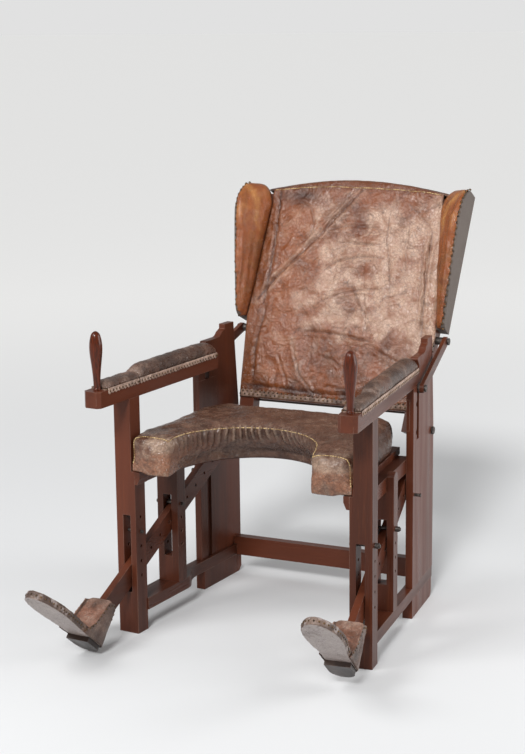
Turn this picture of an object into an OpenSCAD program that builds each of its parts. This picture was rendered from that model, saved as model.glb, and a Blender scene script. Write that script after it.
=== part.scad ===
// Birthing chair with a reclining winged back, horseshoe seat and sliding foot rests.
// Millimetres, +Z up, front towards -Y. Left and right are as seen from the front.

/* [Side frames] */
// Half width over the outer faces, at the front legs
half_w = 333; // [320:1:360]
// Plan angle by which each side frame closes in towards the rear
splay = 5; // [4:0.5:6]
// Height of the top of the seat rails
seat_z = 411; // [400:1:425]
// Height of the underside of the arms
arm_z = 590; // [580:1:640]
// Height of the underside of the bottom rails
foot_z = 50; // [40:1:60]
// Thickness of the bottom rails
sole_h = 29.4; // [22:0.2:36]
// Width of a bottom rail at the front
sole_w = 58; // [50:1:66]
// Width of a bottom rail at the rear
sole_w_rear = 25; // [20:1:30]
// Distance from the front at which the bottom rail's ogee starts
ogee_v = 228; // [220:1:240]
// Length of the ogee
ogee_len = 108; // [80:1:125]

/* [Front legs] */
// Width of a front leg above the seat
leg_w = 46; // [42:1:52]
// Width of a front leg below the seat
leg_w_low = 55; // [53:1:60]
// Depth of a front leg
leg_d = 43; // [36:1:50]
// Width of the slot that the foot bar slides in
leg_slot_w = 21; // [19:0.5:24]
// Height of the slot's lower end
leg_slot_lo = 105; // [85:1:112]
// Height of the slot's upper end
leg_slot_hi = 300; // [220:1:310]
// Height of the lowest peg hole
leg_hole_lo = 145.5; // [135:0.5:150]
// Spacing of the peg holes up the leg
leg_hole_pitch = 37; // [33:0.5:38]
// Number of peg holes in a front leg
leg_holes = 5; // [4:1:5]
// Thickness of the corbel inside a front leg
corbel_w = 14.5; // [10:0.5:20]
// Height of the corbel
corbel_h = 32; // [26:1:40]

/* [Middle posts] */
// Distance from the front to a middle post
mid_v = 180; // [165:1:184]
// Depth of a middle post
mid_d = 36; // [30:1:40]
// Width of a middle post
mid_w = 60; // [56:1:64]
// Width of the slot in a middle post
mid_slot_w = 24; // [20:0.5:26]
// Height of the slot's lower end
mid_slot_lo = 146; // [130:1:170]
// Height of the slot's upper end
mid_slot_hi = 307; // [295:1:320]
// Spacing of the peg holes down the middle post
mid_hole_pitch = 35; // [30:0.5:38]
// Number of peg holes in a middle post
mid_holes = 4; // [2:1:4]
// Height to which the cheek laps over the seat rail's outer face
cheek_rise = 11; // [5:1:16]

/* [Rear posts and boards] */
// Distance from the front to a rear post
post_v = 358; // [350:1:364]
// Depth of a rear post
post_d = 32; // [28:1:36]
// Thickness of the rear posts and rear boards
post_t = 18; // [16:0.5:20]
// Width of the slot between a rear post and its rear board
back_slot_w = 20; // [19:0.5:22]
// Height of the slot's lower end
back_slot_lo = 455; // [430:1:470]
// Depth of a rear board at its foot
board_d = 148; // [140:1:155]
// Depth of a rear board at its top
board_d_top = 126; // [118:1:134]
// Height of a rear board
board_top = 690; // [686:1:720]
// Heights of the two resting notches in the slot, above its lower end
notch_rise = 19; // [15:1:30]
// Spacing of the two resting notches
notch_gap = 71; // [50:1:72]
// Thickness of the filler strip in the lower slot
filler_t = 12; // [8:1:14]
// Thickness of the let-in wear block
wear_t = 8; // [5:0.5:8]
// Depth of the rear foot block
rear_foot_d = 190; // [170:1:195]
// Size of the clipped rear corner of the foot block
rear_foot_clip = 12; // [6:1:20]
// Height of the iron stud in a rear post
stud_z = 319; // [280:1:340]

/* [Cross stretcher] */
// Distance from the front to the cross stretcher
stretcher_y = 520; // [500:1:525]
// Thickness of the cross stretcher
stretcher_t = 25; // [18:1:28]
// Height of the cross stretcher's top
stretcher_top = 101; // [92:1:120]

/* [Arms] */
// Width of an arm
arm_w = 46; // [42:1:52]
// Thickness of an arm
arm_h = 39.2; // [34:0.2:46]
// Reach of an arm ahead of the front leg
arm_reach = 123.4; // [110:0.2:140]
// Chamfer on the front corners of an arm
arm_chamfer = 8; // [4:0.5:12]
// Distance behind the arm's front end at which the pad starts
pad_setback = 37.4; // [34:0.2:60]
// Distance from the leg's front face to the joint between the two pads
pad_joint_v = 48; // [40:1:60]
// Crown height of the front pad
front_pad_h = 19; // [14:0.5:24]
// Crown height of the rear pad
rear_pad_h = 34; // [26:0.5:38]

/* [Hand grips] */
// Height of a grip above the arm
grip_h = 140; // [120:1:155]
// Greatest radius of a grip
grip_r = 15.5; // [13:0.5:16]
// Radius of a grip at its neck
grip_neck_r = 8; // [7:0.5:10]
// Distance from the arm's front end to the grip's axis
grip_setback = 26; // [18:0.2:32]
// Radius of the grip's tenon
tenon_r = 6; // [4:0.5:7]

/* [Seat] */
// Thickness of the seat board
seat_board_t = 18; // [14:0.5:22]
// Distance from the front to the rear edge of the seat
seat_depth = 392; // [380:1:396]
// Distance from the frame's outer face to the side of the horseshoe opening
lobe_w = 155; // [151:1:173]
// Depth of the horseshoe opening
opening_d = 183; // [165:1:200]
// Height of the cushion's side seam above the board
cushion_h = 70; // [60:1:80]
// Rise of the crown above the side seam
cushion_crown = 9; // [5:0.5:14]
// Bulge of the cushion's front ends
cushion_nose = 8; // [4:0.5:12]
// Distance by which the inner wall draws back at the middle
cushion_undercut = 56; // [40:1:60]
// Clearance between leather and wood
leather_gap = 0.4; // [0.3:0.1:1]

/* [Back] */
// Angle of the back from upright, fully reclined
recline = 21.9; // [20:0.1:24]
// Distance from the front to the foot of the back's front plane
back_y = 535; // [530:1:545]
// Height of the foot of the back's front plane
back_z = 493; // [485:1:505]
// Distance from the frame's half width in to the stiles at their foot
stile_inset = 79; // [77:0.5:84]
// Outward lean of the stiles
stile_lean = 3.4; // [3:0.1:3.6]
// Width of a stile
stile_w = 40; // [34:1:44]
// Depth of a stile
stile_d = 40; // [34:1:44]
// Length of the stiles below the leather
stile_foot = 60; // [56:1:70]
// Length of the stiles above the leather's lower edge
stile_top = 556; // [530:1:557]
// Height of the crest at the middle, up the slope
crest_t = 604; // [596:1:620]
// Radius of the crest's arch
crest_r = 950; // [850:10:1400]
// Depth of the crest rail up the slope
crest_rail_h = 90; // [60:1:110]
// Depth of the back's foot rail
back_foot_h = 47; // [35:1:60]
// Thickness of the back panel
panel_t = 5; // [3:0.5:8]
// Thickness of the stuffing in front of the stiles at the edge
pad_edge = 5; // [3:0.5:8]
// Crown of the back's stuffing
pad_crown = 11; // [6:0.5:14]
// Thickness of stuffing over the crest
crest_pad = 14; // [10:0.5:18]

/* [Wings] */
// Distance up the slope at which the wings start
wing_t0 = 212; // [210:1:240]
// Reach of a wing ahead of the stile's front at its top
wing_reach = 82; // [70:1:86]
// Reach of a wing at its rounded foot
wing_foot = 22; // [16:1:28]
// Outward flare of a wing
wing_flare = 4.7; // [3:0.1:7]
// Thickness of a wing board at its root, against the stile
wing_root_t = 23; // [20:0.5:26]
// Thickness of a wing board ahead of the stile
wing_board_t = 12; // [9:0.5:14]
// Top of the wings, up the slope
wing_top = 584; // [575:1:592]
// Height of the wing's domed top
wing_dome = 94; // [70:1:110]
// Distance by which the back's leather draws in from the stiles' foot, at the top
leather_draw = 14; // [8:1:18]

/* [Back hinge and stays] */
// Radius of the back's pivot pins
pivot_r = 6; // [5:0.5:7]
// Distance of the pivot below the foot of the back's front plane, down the slope
pivot_drop = 44.7; // [40:0.1:48]
// Distance of the stay pin up the stile
stay_pin_t = 188; // [180:1:190]
// Length of a stay between its pins
stay_len = 241.6; // [238:0.2:246]
// Depth of a stay
stay_d = 24; // [20:1:28]
// Thickness of a stay
stay_t = 10; // [8:0.5:11]
// Gap between a stay and the side frame's outer face
stay_gap = 6; // [5:0.5:8]
// Radius of the stay's peg
stay_peg_r = 6; // [5:0.25:6]
// Radius of the stay's pin
stay_pin_r = 5; // [4:0.25:5.5]
// Running clearance of pins and pegs in their holes
running = 0.1; // [0.05:0.01:0.1]

/* [Foot rests] */
// Slope of the foot bars
bar_slope = 27; // [26:0.5:28]
// Height of the bar's centre line at the front of the leg
bar_z0 = 148; // [146:0.5:150]
// Depth of a foot bar
bar_d = 50; // [44:1:51]
// Thickness of a foot bar
bar_t = 18; // [15:0.5:18.5]
// Distance from the frame's outer face to the middle of the bar
bar_u = 29; // [28.5:0.1:29.5]
// Distance along the bar from the leg's front face to its upper end
bar_upper = 487; // [470:1:488]
// Distance along the bar to its first peg hole
bar_hole_first = 101; // [80:1:110]
// Spacing of the peg holes along the bar
bar_hole_pitch = 47.7; // [40:0.1:49]
// Number of peg holes in a bar
bar_holes = 8; // [5:1:8]
// Distance by which the right foot rest is pushed in
foot_stagger = 45; // [0:1:45]
// Angle of the foot plates, toe up
foot_pitch = 39.5; // [36:0.5:42]
// Distance along the bar from the leg's front face to the foot plate
bar_lower = 197; // [190:1:204]
// Distance from a foot plate's heel to the middle of the bar's seat
heel_to_bar = 46.3; // [42:0.1:50]
// Length of a foot plate
plate_len = 307; // [280:1:320]
// Half width of a foot plate at the heel
plate_heel = 32; // [28:0.5:35]
// Half width of a foot plate at the waist
plate_waist = 33; // [28:0.5:36]
// Half width of a foot plate at the ball
plate_ball = 45; // [38:0.5:50]
// Thickness of a foot plate
plate_t = 20; // [15:0.5:24]
// Length of the heel block
heel_len = 77; // [60:1:90]
// Thickness of the heel block
heel_t = 12; // [8:0.5:12.5]
// Thickness of the heel cup's leather
cup_t = 4; // [3:0.25:5]
// Height of the heel cup's back wall
cup_back = 56; // [45:1:58]
// Height of the heel cup's cheeks
cup_cheek = 104; // [90:1:112]
// Height of the heel cup's counter, ahead of the foot bar, over its cheeks
counter_rise = 4; // [0:0.5:10]

/* [Pegs] */
// Radius of the pegs
peg_r = 4; // [3:0.25:4.5]
// Radius of a peg's head
peg_head_r = 6.5; // [5.5:0.25:8]
// Length of a peg's head
peg_head_l = 9; // [6:0.5:12]
// Length of a peg past the far side of its post
peg_tail = 6; // [2:0.5:10]
// Hole of the left front leg that holds its peg, counted from the lowest
left_peg_hole = 4; // [4:1:5]
// Hole of the right front leg that holds its peg, counted from the lowest
right_peg_hole = 5; // [4:1:5]

/* [Hidden] */
$fn = 48;
LEFT = -1;
RIGHT = 1;
sole_top = foot_z + sole_h;
board_v = post_v + post_d + back_slot_w;
slot_v = board_v - back_slot_w / 2;
arm_top = arm_z + arm_h;
opening_w = half_w - lobe_w;
stile_half = half_w - stile_inset;
leather_top = stile_half - leather_draw;
arm_len = arm_reach + board_v;
board_base = seat_z + seat_board_t;
rail_h = 35;
rail_z = seat_z - rail_h;
rail_w = 36;
peg_hole_r = peg_r + running;
leg_peg_v = leg_d / 2;
mid_peg_v = mid_v + mid_d / 2;
// The highest hole of the middle post stands just clear of the bar's upper edge.
bar_peg_gap = 0.3;
mid_hole_hi = bar_z0 + mid_peg_v * tan(bar_slope)
  + (bar_d / 2 + peg_r + bar_peg_gap) / cos(bar_slope);
grip_v = grip_setback - arm_reach;
grip_axis_u = arm_w / 2;
tenon_l = 24;
wear_len = post_d + back_slot_w + 35;
wear_z = back_slot_lo + 28;
wear_h = 78;
stud_v = post_v + 14;
cushion_u = leg_w + leather_gap;
board_clear = 16;
apron_t = 6;
side_gap = 1;
// Half width of the frame's inside at distance u in from the outer face.
function inner_x(u, y) = half_w - u * cos(splay) - (y + u * sin(splay)) * tan(splay);
function back_yz(t, d) = [back_y + d * cos(recline) + t * sin(recline),
                          back_z - d * sin(recline) + t * cos(recline)];
function arc(c, r, a0, a1, n) =
  [for (i = [0:n]) let (a = a0 + (a1 - a0) * i / n) [c[0] + r * cos(a), c[1] + r * sin(a)]];
function mix(a, b, f) = a + (b - a) * f;
function ease(f) = (1 - cos(180 * min(1, max(0, f)))) / 2;
function crest_at(x) = crest_t - crest_r + sqrt(crest_r * crest_r - x * x);
stile_front = 5;
// Reach of the crest's leather over the top of a stile, behind the wing.
over_stile = 22;
stile_mid = stile_front + stile_d / 2;
pivot = back_yz(-pivot_drop, stile_mid - 5);
stay_pin = back_yz(stay_pin_t, stile_mid);
stay_u = -stay_gap - stay_t;
stay_pin_v = (stay_pin[0] + (stay_u + stay_t / 2) * sin(splay)) / cos(splay);
stay_dv = stay_pin_v - slot_v;
stay_dz = sqrt(stay_len * stay_len - stay_dv * stay_dv);
stay_peg_z = stay_pin[1] - stay_dz;
stay_rise = atan2(stay_dz, stay_dv);
// The foot plate's heel, worked out from where the bar lands on the plate.
heel_v = -bar_lower * cos(bar_slope) + heel_to_bar * cos(foot_pitch) - plate_t * sin(foot_pitch);
heel_z = bar_z0 - bar_lower * sin(bar_slope) - heel_to_bar * sin(foot_pitch)
  - plate_t * cos(foot_pitch);
// The origin is the middle of the chair's box, on the floor.
toe_y = (heel_v - plate_len * cos(foot_pitch)) * cos(splay) - bar_u * sin(splay);
crest_back = back_yz(crest_t - 10, stile_front + stile_d + panel_t + 3)[0];
origin_y = (toe_y + crest_back) / 2;
wood = "#5a2a20";
dark_wood = "#46201a";
grip_wood = "#6a2a10";
leather = "#7a4a36";
seat_leather = "#4e352d";
sole_leather = "#9a8a84";
iron = "#3a3634";

// Places its children in the chair's own frame.
module placed() {
  translate([0, -origin_y, 0]) children();
}

// Places its children in one side frame: X inward from the outer face, Y rearward, Z up.
module on_side(s) {
  mirror([s > 0 ? 1 : 0, 0, 0])
    placed() translate([-half_w, 0, 0]) rotate([0, 0, -splay]) children();
}

// Places its children on the back: Z up the slope, Y from the front face to the rear.
module on_back() {
  placed() translate([0, back_y, back_z]) rotate([-recline, 0, 0]) children();
}

// Places its children along one foot bar: Y up the bar, from the leg's front face.
module on_bar(s) {
  on_side(s) translate([0, 0, bar_z0]) rotate([bar_slope, 0, 0])
    translate([0, s > 0 ? foot_stagger : 0, 0]) children();
}

// Places its children on one foot plate: Y from the toe to the heel, Z off the top.
module on_plate(s) {
  push = s > 0 ? foot_stagger : 0;
  on_side(s)
    translate([bar_u, heel_v + push * cos(bar_slope), heel_z + push * sin(bar_slope)])
      rotate([-foot_pitch, 0, 0]) children();
}

// A round bar along X from x0 to x1.
module rod(x0, x1, r) {
  translate([x0, 0, 0]) rotate([0, 90, 0]) cylinder(r = r, h = x1 - x0);
}

// A closed skin over rings of equal point counts, with a point at the middle of each end.
module loft(rings) {
  n = len(rings[0]);
  m = len(rings);
  function middle(ring) = [for (k = [0:2]) let (s = [for (p = ring) p[k]]) (max(s) + min(s)) / 2];
  points = concat([for (r = rings) each r], [middle(rings[0]), middle(rings[m - 1])]);
  sides = [for (i = [0:m - 2], j = [0:n - 1])
    let (a = i * n + j, b = i * n + (j + 1) % n) each [[a, b, b + n], [a, b + n, a + n]]];
  start = [for (j = [0:n - 1]) [m * n, (j + 1) % n, j]];
  stop = [for (j = [0:n - 1]) [m * n + 1, (m - 1) * n + j, (m - 1) * n + (j + 1) % n]];
  polyhedron(points, concat(sides, start, stop), convexity = 6);
}

module front_leg(s) {
  color(wood) on_side(s) difference() {
    union() {
      cube([leg_w_low, leg_d, seat_z]);
      cube([leg_w, leg_d, arm_z]);
    }
    translate([bar_u - leg_slot_w / 2, -1, leg_slot_lo])
      cube([leg_slot_w, leg_d + 2, leg_slot_hi - leg_slot_lo]);
    for (k = [0:leg_holes - 1])
      translate([0, leg_peg_v, leg_hole_lo + k * leg_hole_pitch])
        rod(-1, leg_w_low + 1, peg_hole_r);
  }
}

module seat_corbel(s) {
  color(wood) on_side(s) translate([leg_w_low, leg_d, seat_z]) rotate([90, 0, 0])
    linear_extrude(leg_d)
      polygon([[0, 0], [corbel_w, 0], [corbel_w, -corbel_h / 2],
               [corbel_w / 2, -corbel_h], [0, -corbel_h]]);
}

module middle_post(s) {
  color(wood) on_side(s) difference() {
    union() {
      translate([0, mid_v, sole_top]) cube([mid_w, mid_d, rail_z - sole_top]);
      translate([0, mid_v, sole_top])
        cube([post_t, mid_d, seat_z + cheek_rise - mid_d / 4 - sole_top]);
      intersection() {
        translate([0, mid_v + mid_d / 2, seat_z + cheek_rise - mid_d / 2])
          rod(0, post_t, mid_d / 2);
        translate([0, mid_v, seat_z]) cube([post_t, mid_d, cheek_rise]);
      }
    }
    translate([bar_u - mid_slot_w / 2, mid_v - 1, mid_slot_lo])
      cube([mid_slot_w, mid_d + 2, mid_slot_hi - mid_slot_lo]);
    for (k = [0:mid_holes - 1])
      translate([0, mid_peg_v, mid_hole_hi - k * mid_hole_pitch]) rod(-1, mid_w + 1, peg_hole_r);
  }
}

// The recess for the wear block, on the inner face across the slot.
module wear_recess() {
  translate([post_t - wear_t, post_v, wear_z]) cube([wear_t + 1, wear_len, wear_h]);
}

module rear_post(s) {
  notch_r = stay_peg_r + 1;
  color(wood) on_side(s) difference() {
    translate([0, post_v, sole_top]) cube([post_t, post_d, arm_z - sole_top]);
    wear_recess();
    for (k = [0:1])
      translate([0, post_v + post_d, back_slot_lo + notch_rise + k * notch_gap])
        rod(-1, post_t - wear_t, notch_r);
    translate([0, stud_v, stud_z]) rod(-1, post_t - 1, peg_r + running / 2);
  }
}

// Side outline of a rear board: a sloping rear edge and a scrolled top.
function board_outline() = let (
    v0 = board_v, v1 = board_v + board_d, vt = board_v + board_d_top,
    tip_v = board_v - 14, lip = board_top - 30, step_v = board_v + 82, step_h = 12,
    cove = 23, cove_v = step_v - 36, taper_h = 130)
  concat([[v0, sole_top], [v1, sole_top], [v1, arm_z - taper_h], [vt, board_top],
          [step_v, board_top], [step_v, board_top - step_h]],
         arc([cove_v, lip + cove], cove, -33, -90, 5),
         [[tip_v + 4, lip]],
         arc([tip_v + 4, lip - 5], 5, 100, 190, 4),
         [[v0 - 4, arm_top + 14], [v0, arm_top + 8]]);

module rear_board(s) {
  color(wood) difference() {
    on_side(s) difference() {
      multmatrix([[0, 0, 1, 0], [1, 0, 0, 0], [0, 1, 0, 0]])
        linear_extrude(post_t) polygon(board_outline());
      wear_recess();
    }
    placed() translate([0, pivot[0], pivot[1]])
      rod(s > 0 ? 0 : -half_w, s > 0 ? half_w : 0, pivot_r + running);
  }
}

module slot_blocks() {
  color(dark_wood) for (s = [LEFT, RIGHT]) on_side(s)
    translate([post_t - wear_t, post_v, wear_z]) {
      cube([wear_t, post_d - 2, wear_h]);
      translate([0, post_d - 2, 0]) cube([wear_t, wear_len - post_d + 2, wear_h]);
    }
}

module filler_strips() {
  color(wood) for (s = [LEFT, RIGHT]) on_side(s)
    translate([0, post_v + post_d, sole_top])
      cube([filler_t, back_slot_w, back_slot_lo - sole_top]);
}

// Plan width of the bottom rail at distance v from the front.
function sole_width(v) = mix(sole_w, sole_w_rear, 1 - pow(1 - ease((v - ogee_v) / ogee_len), 2));

module sole_rail(s) {
  rear = board_v + board_d - 3;
  color(wood) on_side(s) translate([0, 0, foot_z]) linear_extrude(sole_h)
    polygon(concat([[0, leg_d], [sole_w, leg_d]],
                   [for (i = [0:14]) let (v = ogee_v + ogee_len * i / 14) [sole_width(v), v]],
                   [[sole_w_rear, rear], [0, rear]]));
}

module rear_foot(s) {
  rear = board_v + board_d - 10;
  color(wood) on_side(s) translate([0, rear - rear_foot_d, 0])
    multmatrix([[0, 0, 1, 0], [1, 0, 0, 0], [0, 1, 0, 0]])
      linear_extrude(sole_w_rear)
        polygon([[0, 0], [rear_foot_d - rear_foot_clip, 0], [rear_foot_d, rear_foot_clip],
                 [rear_foot_d, foot_z], [0, foot_z]]);
}

module seat_rail(s) {
  color(wood) on_side(s) translate([post_t, leg_d, rail_z])
    cube([rail_w, post_v + post_d - leg_d, rail_h]);
}

module cross_stretcher() {
  y1 = stretcher_y + stretcher_t;
  color(wood) placed() for (part = [[foot_z, sole_top, sole_w_rear],
                                    [sole_top, stretcher_top, post_t]])
    translate([0, 0, part[0]]) linear_extrude(part[1] - part[0])
      polygon([for (c = [[-1, stretcher_y], [1, stretcher_y], [1, y1], [-1, y1]])
        [c[0] * inner_x(part[2], c[1]), c[1]]]);
}

module arm(s) {
  c = arm_chamfer;
  color(wood) on_side(s) difference() {
    translate([0, -arm_reach, arm_z]) linear_extrude(arm_h)
      polygon([[c, 0], [arm_w - c, 0], [arm_w, c], [arm_w, arm_len], [0, arm_len], [0, c]]);
    translate([grip_axis_u, grip_v, arm_top - tenon_l - 0.5])
      cylinder(r = tenon_r + running, h = tenon_l + 1);
  }
}

// Section of an arm pad: a crown over the arm, a little wider than its base.
function pad_ring(v, w, h) = let (c = arm_w / 2)
  concat([for (i = [0:12]) let (a = 180 - 15 * i)
            [c + w * cos(a), v, arm_top + leather_gap / 4 + h * (0.3 + 0.7 * pow(sin(a), 0.7))]],
         [for (x = [0.94, 0.4, -0.4, -0.94]) [c + w * x, v, arm_top + leather_gap / 4]]);

// Height of a rounded end, from 0 at its tip to 1 at distance r.
function nose(d, r) = let (f = min(1, max(0, d / r))) sqrt(1 - (1 - f) * (1 - f));

// A pad from v0 to v1; its ends round off over nose_r and tail_r, or stay square at 0.
module arm_pad(s, v0, v1, h0, h1, nose_r, tail_r) {
  steps = [0, 0.01, 0.03, 0.06, 0.1, 0.16, 0.3, 0.5, 0.7, 0.84, 0.9, 0.94, 0.97, 0.99, 1];
  color(seat_leather) on_side(s) loft([for (f = steps) let (
      v = mix(v0, v1, f),
      start = nose_r == 0 ? 1 : 0.25 + 0.75 * nose(v - v0, nose_r),
      stop = tail_r == 0 ? 1 : 0.1 + 0.9 * nose(v1 - v, tail_r),
      h = mix(h0, h1, ease(min(1, (v - v0) / 30))) * start * stop)
    pad_ring(v, arm_w / 2 * mix(0.93, 1, start * stop) - 0.3, h)]);
}

module arm_pad_front(s) {
  arm_pad(s, pad_setback - arm_reach, pad_joint_v, front_pad_h, front_pad_h, 22, 0);
}

module arm_pad_rear(s) {
  arm_pad(s, pad_joint_v, board_v - 3, front_pad_h + 4, rear_pad_h, 0, 46);
}

// Turned outline of a hand grip: a swelling body on a slim neck, with a round end.
function grip_radius(f) =
  (grip_neck_r + (grip_r - grip_neck_r) * sin(180 * pow(f, 2.1))) * (f > 0.93
    ? sqrt(max(0, 1 - pow((f - 0.93) / 0.07, 2))) : 1);

module arm_grip(s) {
  steps = 26;
  profile = concat([[0, -tenon_l], [tenon_r, -tenon_l], [tenon_r, 0], [grip_neck_r + 1, 0],
                    [grip_neck_r + 1, 4]],
                   [for (i = [1:steps - 1]) [grip_radius(i / steps), grip_h * i / steps]],
                   [[grip_radius(0.985), grip_h * 0.985], [0, grip_h]]);
  color(grip_wood) on_side(s) translate([grip_axis_u, grip_v, arm_top])
    rotate_extrude() polygon(profile);
}

module rear_stud(s) {
  out = 14;
  color(iron) on_side(s) translate([0, stud_v, stud_z]) {
    rod(-out, post_t - 1.2, peg_r);
    rod(-out - 2, -out, peg_r + 1);
  }
}

// Horseshoe plan: the point at angle a on the opening, and on the outer edge.
function opening_at(a) = [-opening_w * cos(a), opening_d * sin(a)];
function outer_at(a) = let (
    half = inner_x(cushion_u, 0), rear = inner_x(cushion_u, seat_depth) / half, p = 12,
    r = pow(pow(abs(cos(a)) / half, p) + pow(abs(sin(a)) / seat_depth, p), -1 / p))
  [-r * cos(a) * mix(1, rear, r * sin(a) / seat_depth), r * sin(a)];

// Horseshoe edge of the seat board, moved in by a distance, from its left front corner.
function board_edge(in) = let (w = opening_w + board_clear - in)
  concat([[-w, -in]],
    [for (i = [1:23]) let (a = 7.5 * i) [-w * cos(a), (opening_d + cushion_undercut + 6 - in) * sin(a)]],
    [[w, -in]]);

module seat_board() {
  rear = seat_depth + 8;
  inner = inner_x(leg_w + side_gap, 0);
  outer = inner_x(leg_w + side_gap, rear);
  color(wood) placed() translate([0, 0, seat_z]) linear_extrude(seat_board_t)
    polygon(concat([[-inner, 0]], board_edge(0), [[inner, 0], [outer, rear], [-outer, rear]]));
}

// The cushion's leather, brought down over the board's front and horseshoe edges.
module seat_apron() {
  lap = 6;
  skin = 0.3;
  far = inner_x(leg_w + side_gap, 0) - 0.5;
  outer = board_edge(skin);
  n = len(outer);
  inner = board_edge(apron_t);
  translate([0, 0, seat_z]) linear_extrude(seat_board_t + lap)
    polygon(concat([[-far, -apron_t], [-far, -skin]], outer, [[far, -skin], [far, -apron_t]],
      [for (i = [n - 1:-1:0]) inner[i]]));
}

// Section of the cushion at plan angle a: flat base, bulging side, crown and drawn-in wall.
function cushion_ring(a) = let (
    i = opening_at(a), o = outer_at(a), w = norm(o - i), e = (o - i) / w,
    back = mix(12, cushion_undercut, pow(sin(a), 1.5)), f = sin(a),
    side = 3.5 * ease((o[1] - leg_d) / 60), h = cushion_h, c = cushion_crown,
    section = [[back + 4, 0], [back * mix(0.55, 0.9, f), h * 0.1],
      [back * mix(0.2, 0.68, f), h * 0.28], [back * mix(0.05, 0.42, f), h * 0.52],
      [back * mix(0, 0.15, f), h * 0.78], [0, h * 0.93], [3, h + c * 0.35],
      [14, h + c * 0.8], [w * 0.3, h + c], [w * 0.55, h + c], [w * 0.8, h + c * 0.75],
      [w - 10, h + c * 0.4], [w - 1, h * 0.98], [w + side * 0.8, h * 0.8],
      [w + side, h * 0.5], [w + side * 0.5, h * 0.2], [w - 3, 0], [w * 0.6, 0]])
  [for (q = section) [i[0] + e[0] * q[0], i[1] + e[1] * q[0], board_base + leather_gap / 4 + q[1]]];

// The cushion's rounded front end: the first ring shrunk and moved forward.
function cushion_end(ring, k) = let (
    n = len(ring), c = [for (j = [0:2]) let (s = [for (p = ring) p[j]]) (max(s) + min(s)) / 2],
    scale = sqrt(1 - k * k))
  [for (p = ring) [c[0] + (p[0] - c[0]) * mix(0.72, 1, scale), p[1] - cushion_nose * k,
                   c[2] + (p[2] - c[2]) * mix(0.72, 1, scale)]];

module seat_cushion() {
  turns = 44;
  angles = [for (k = [0:turns]) 180 * k / turns];
  rings = [for (a = angles) cushion_ring(a)];
  caps = [1, 0.93, 0.75, 0.45];
  color(seat_leather) placed() {
    loft(concat([for (k = caps) cushion_end(rings[0], k)], rings,
      [for (j = [len(caps) - 1:-1:0]) cushion_end(rings[turns], caps[j])]));
    seat_apron();
  }
}

module back_stile(s) {
  color(wood) difference() {
    on_back() translate([s * stile_half, stile_front, 0]) rotate([0, s * stile_lean, 0])
      translate([s > 0 ? -stile_w : 0, 0, -stile_foot])
        cube([stile_w, stile_d, stile_foot + stile_top]);
    placed() translate([0, pivot[0], pivot[1]])
      rod(s > 0 ? stile_half - 30 : -half_w, s > 0 ? half_w : 30 - stile_half,
          pivot_r + running / 2);
    placed() translate([0, stay_pin[0], stay_pin[1]])
      rod(s > 0 ? stile_half - 14 : -half_w, s > 0 ? half_w : 14 - stile_half,
          stay_pin_r + running / 2);
  }
}

// Half width over the stiles, and between them, at height t up the slope.
function stile_out(t) = stile_half + t * tan(stile_lean);
function stile_in(t) = stile_out(t) - stile_w / cos(stile_lean);

// Turns an outline in X and Z into a slab from depth d0 to d1 behind the back's front plane.
module slab(d0, d1) {
  translate([0, d1, 0]) rotate([90, 0, 0]) linear_extrude(d1 - d0) children();
}

// The crest's arch between -w and w, lowered by drop.
function crest_line(w, drop, n) =
  [for (i = [0:n]) let (x = w - 2 * w * i / n) [x, crest_at(x) - drop]];

module crest_rail() {
  w = stile_in(stile_top - 4);
  t0 = crest_t - crest_pad - crest_rail_h;
  color(wood) on_back() slab(stile_front, stile_front + stile_d)
    polygon(concat([[-stile_in(t0), t0], [stile_in(t0), t0]], crest_line(w, crest_pad, 16)));
}

module back_foot_rail() {
  t0 = -2;
  t1 = t0 + back_foot_h;
  color(wood) on_back() slab(stile_front, stile_front + stile_d)
    polygon([[-stile_in(t0), t0], [stile_in(t0), t0], [stile_in(t1), t1], [-stile_in(t1), t1]]);
}

module back_panel() {
  d = stile_front + stile_d;
  w = stile_in(stile_top - 4);
  color(dark_wood) on_back() slab(d, d + panel_t)
    polygon(concat([[-stile_out(-5) + 4, -5], [stile_out(-5) - 4, -5],
                    [stile_out(stile_top - 6) - 4, stile_top - 6]],
                   crest_line(w, crest_pad, 16),
                   [[-stile_out(stile_top - 6) + 4, stile_top - 6]]));
}

// Half width of the back's leather at height t: it gives way to the wings above their start.
function leather_half(t) =
  t < wing_t0 ? stile_out(t) : mix(stile_out(wing_t0), leather_top, min(1, (t - wing_t0) / 320));

// One ring of the back's stuffing at share g of its half width, front first, then under it.
function back_ring(g) = let (
    top = crest_at(g * leather_top), edge = 1 - pow(abs(g), 6), skin = 0.3,
    d_rear = stile_front + stile_d + panel_t,
    front = [for (f = [0, 0.02, 0.08, 0.2, 0.4, 0.6, 0.8, 0.92]) let (
        t = mix(-5, top - 12, f), swell = min(1, f / 0.08), n = pad_edge + pad_crown * edge
          * (0.35 * swell + 0.65 * sin(180 * min(1, f))))
      [t, stile_front - n * mix(0.6, 1, swell)]],
    over = [[top - 30, stile_front - pad_edge - 9 * edge - 1], [top - 14, stile_front - pad_edge - 8],
      [top - 3, stile_front - 2], [top, stile_front + 14], [top - 1, stile_front + 34],
      [top - 7, d_rear + 1], [top - 16, d_rear + 3.5], [top - 34, d_rear + 3]],
    under = [[top - 34, d_rear + skin], [top - 24, d_rear + skin],
      [top - crest_pad + skin, d_rear + skin], [top - crest_pad + skin, stile_front + 34],
      [top - crest_pad + skin, stile_front + 14], [top - crest_pad + skin, stile_front - skin],
      [top - 20, stile_front - skin], [top - 30, stile_front - skin]],
    inside = [for (f = [0.92, 0.8, 0.6, 0.4, 0.2, 0.08, 0.02, 0])
      [mix(-5, top - 12, f), stile_front - skin]])
  [for (q = concat(front, over, under, inside))
    [g * (leather_half(q[0]) + (q[1] > stile_front + 5 ? over_stile : 0)), q[1], q[0]]];

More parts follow.
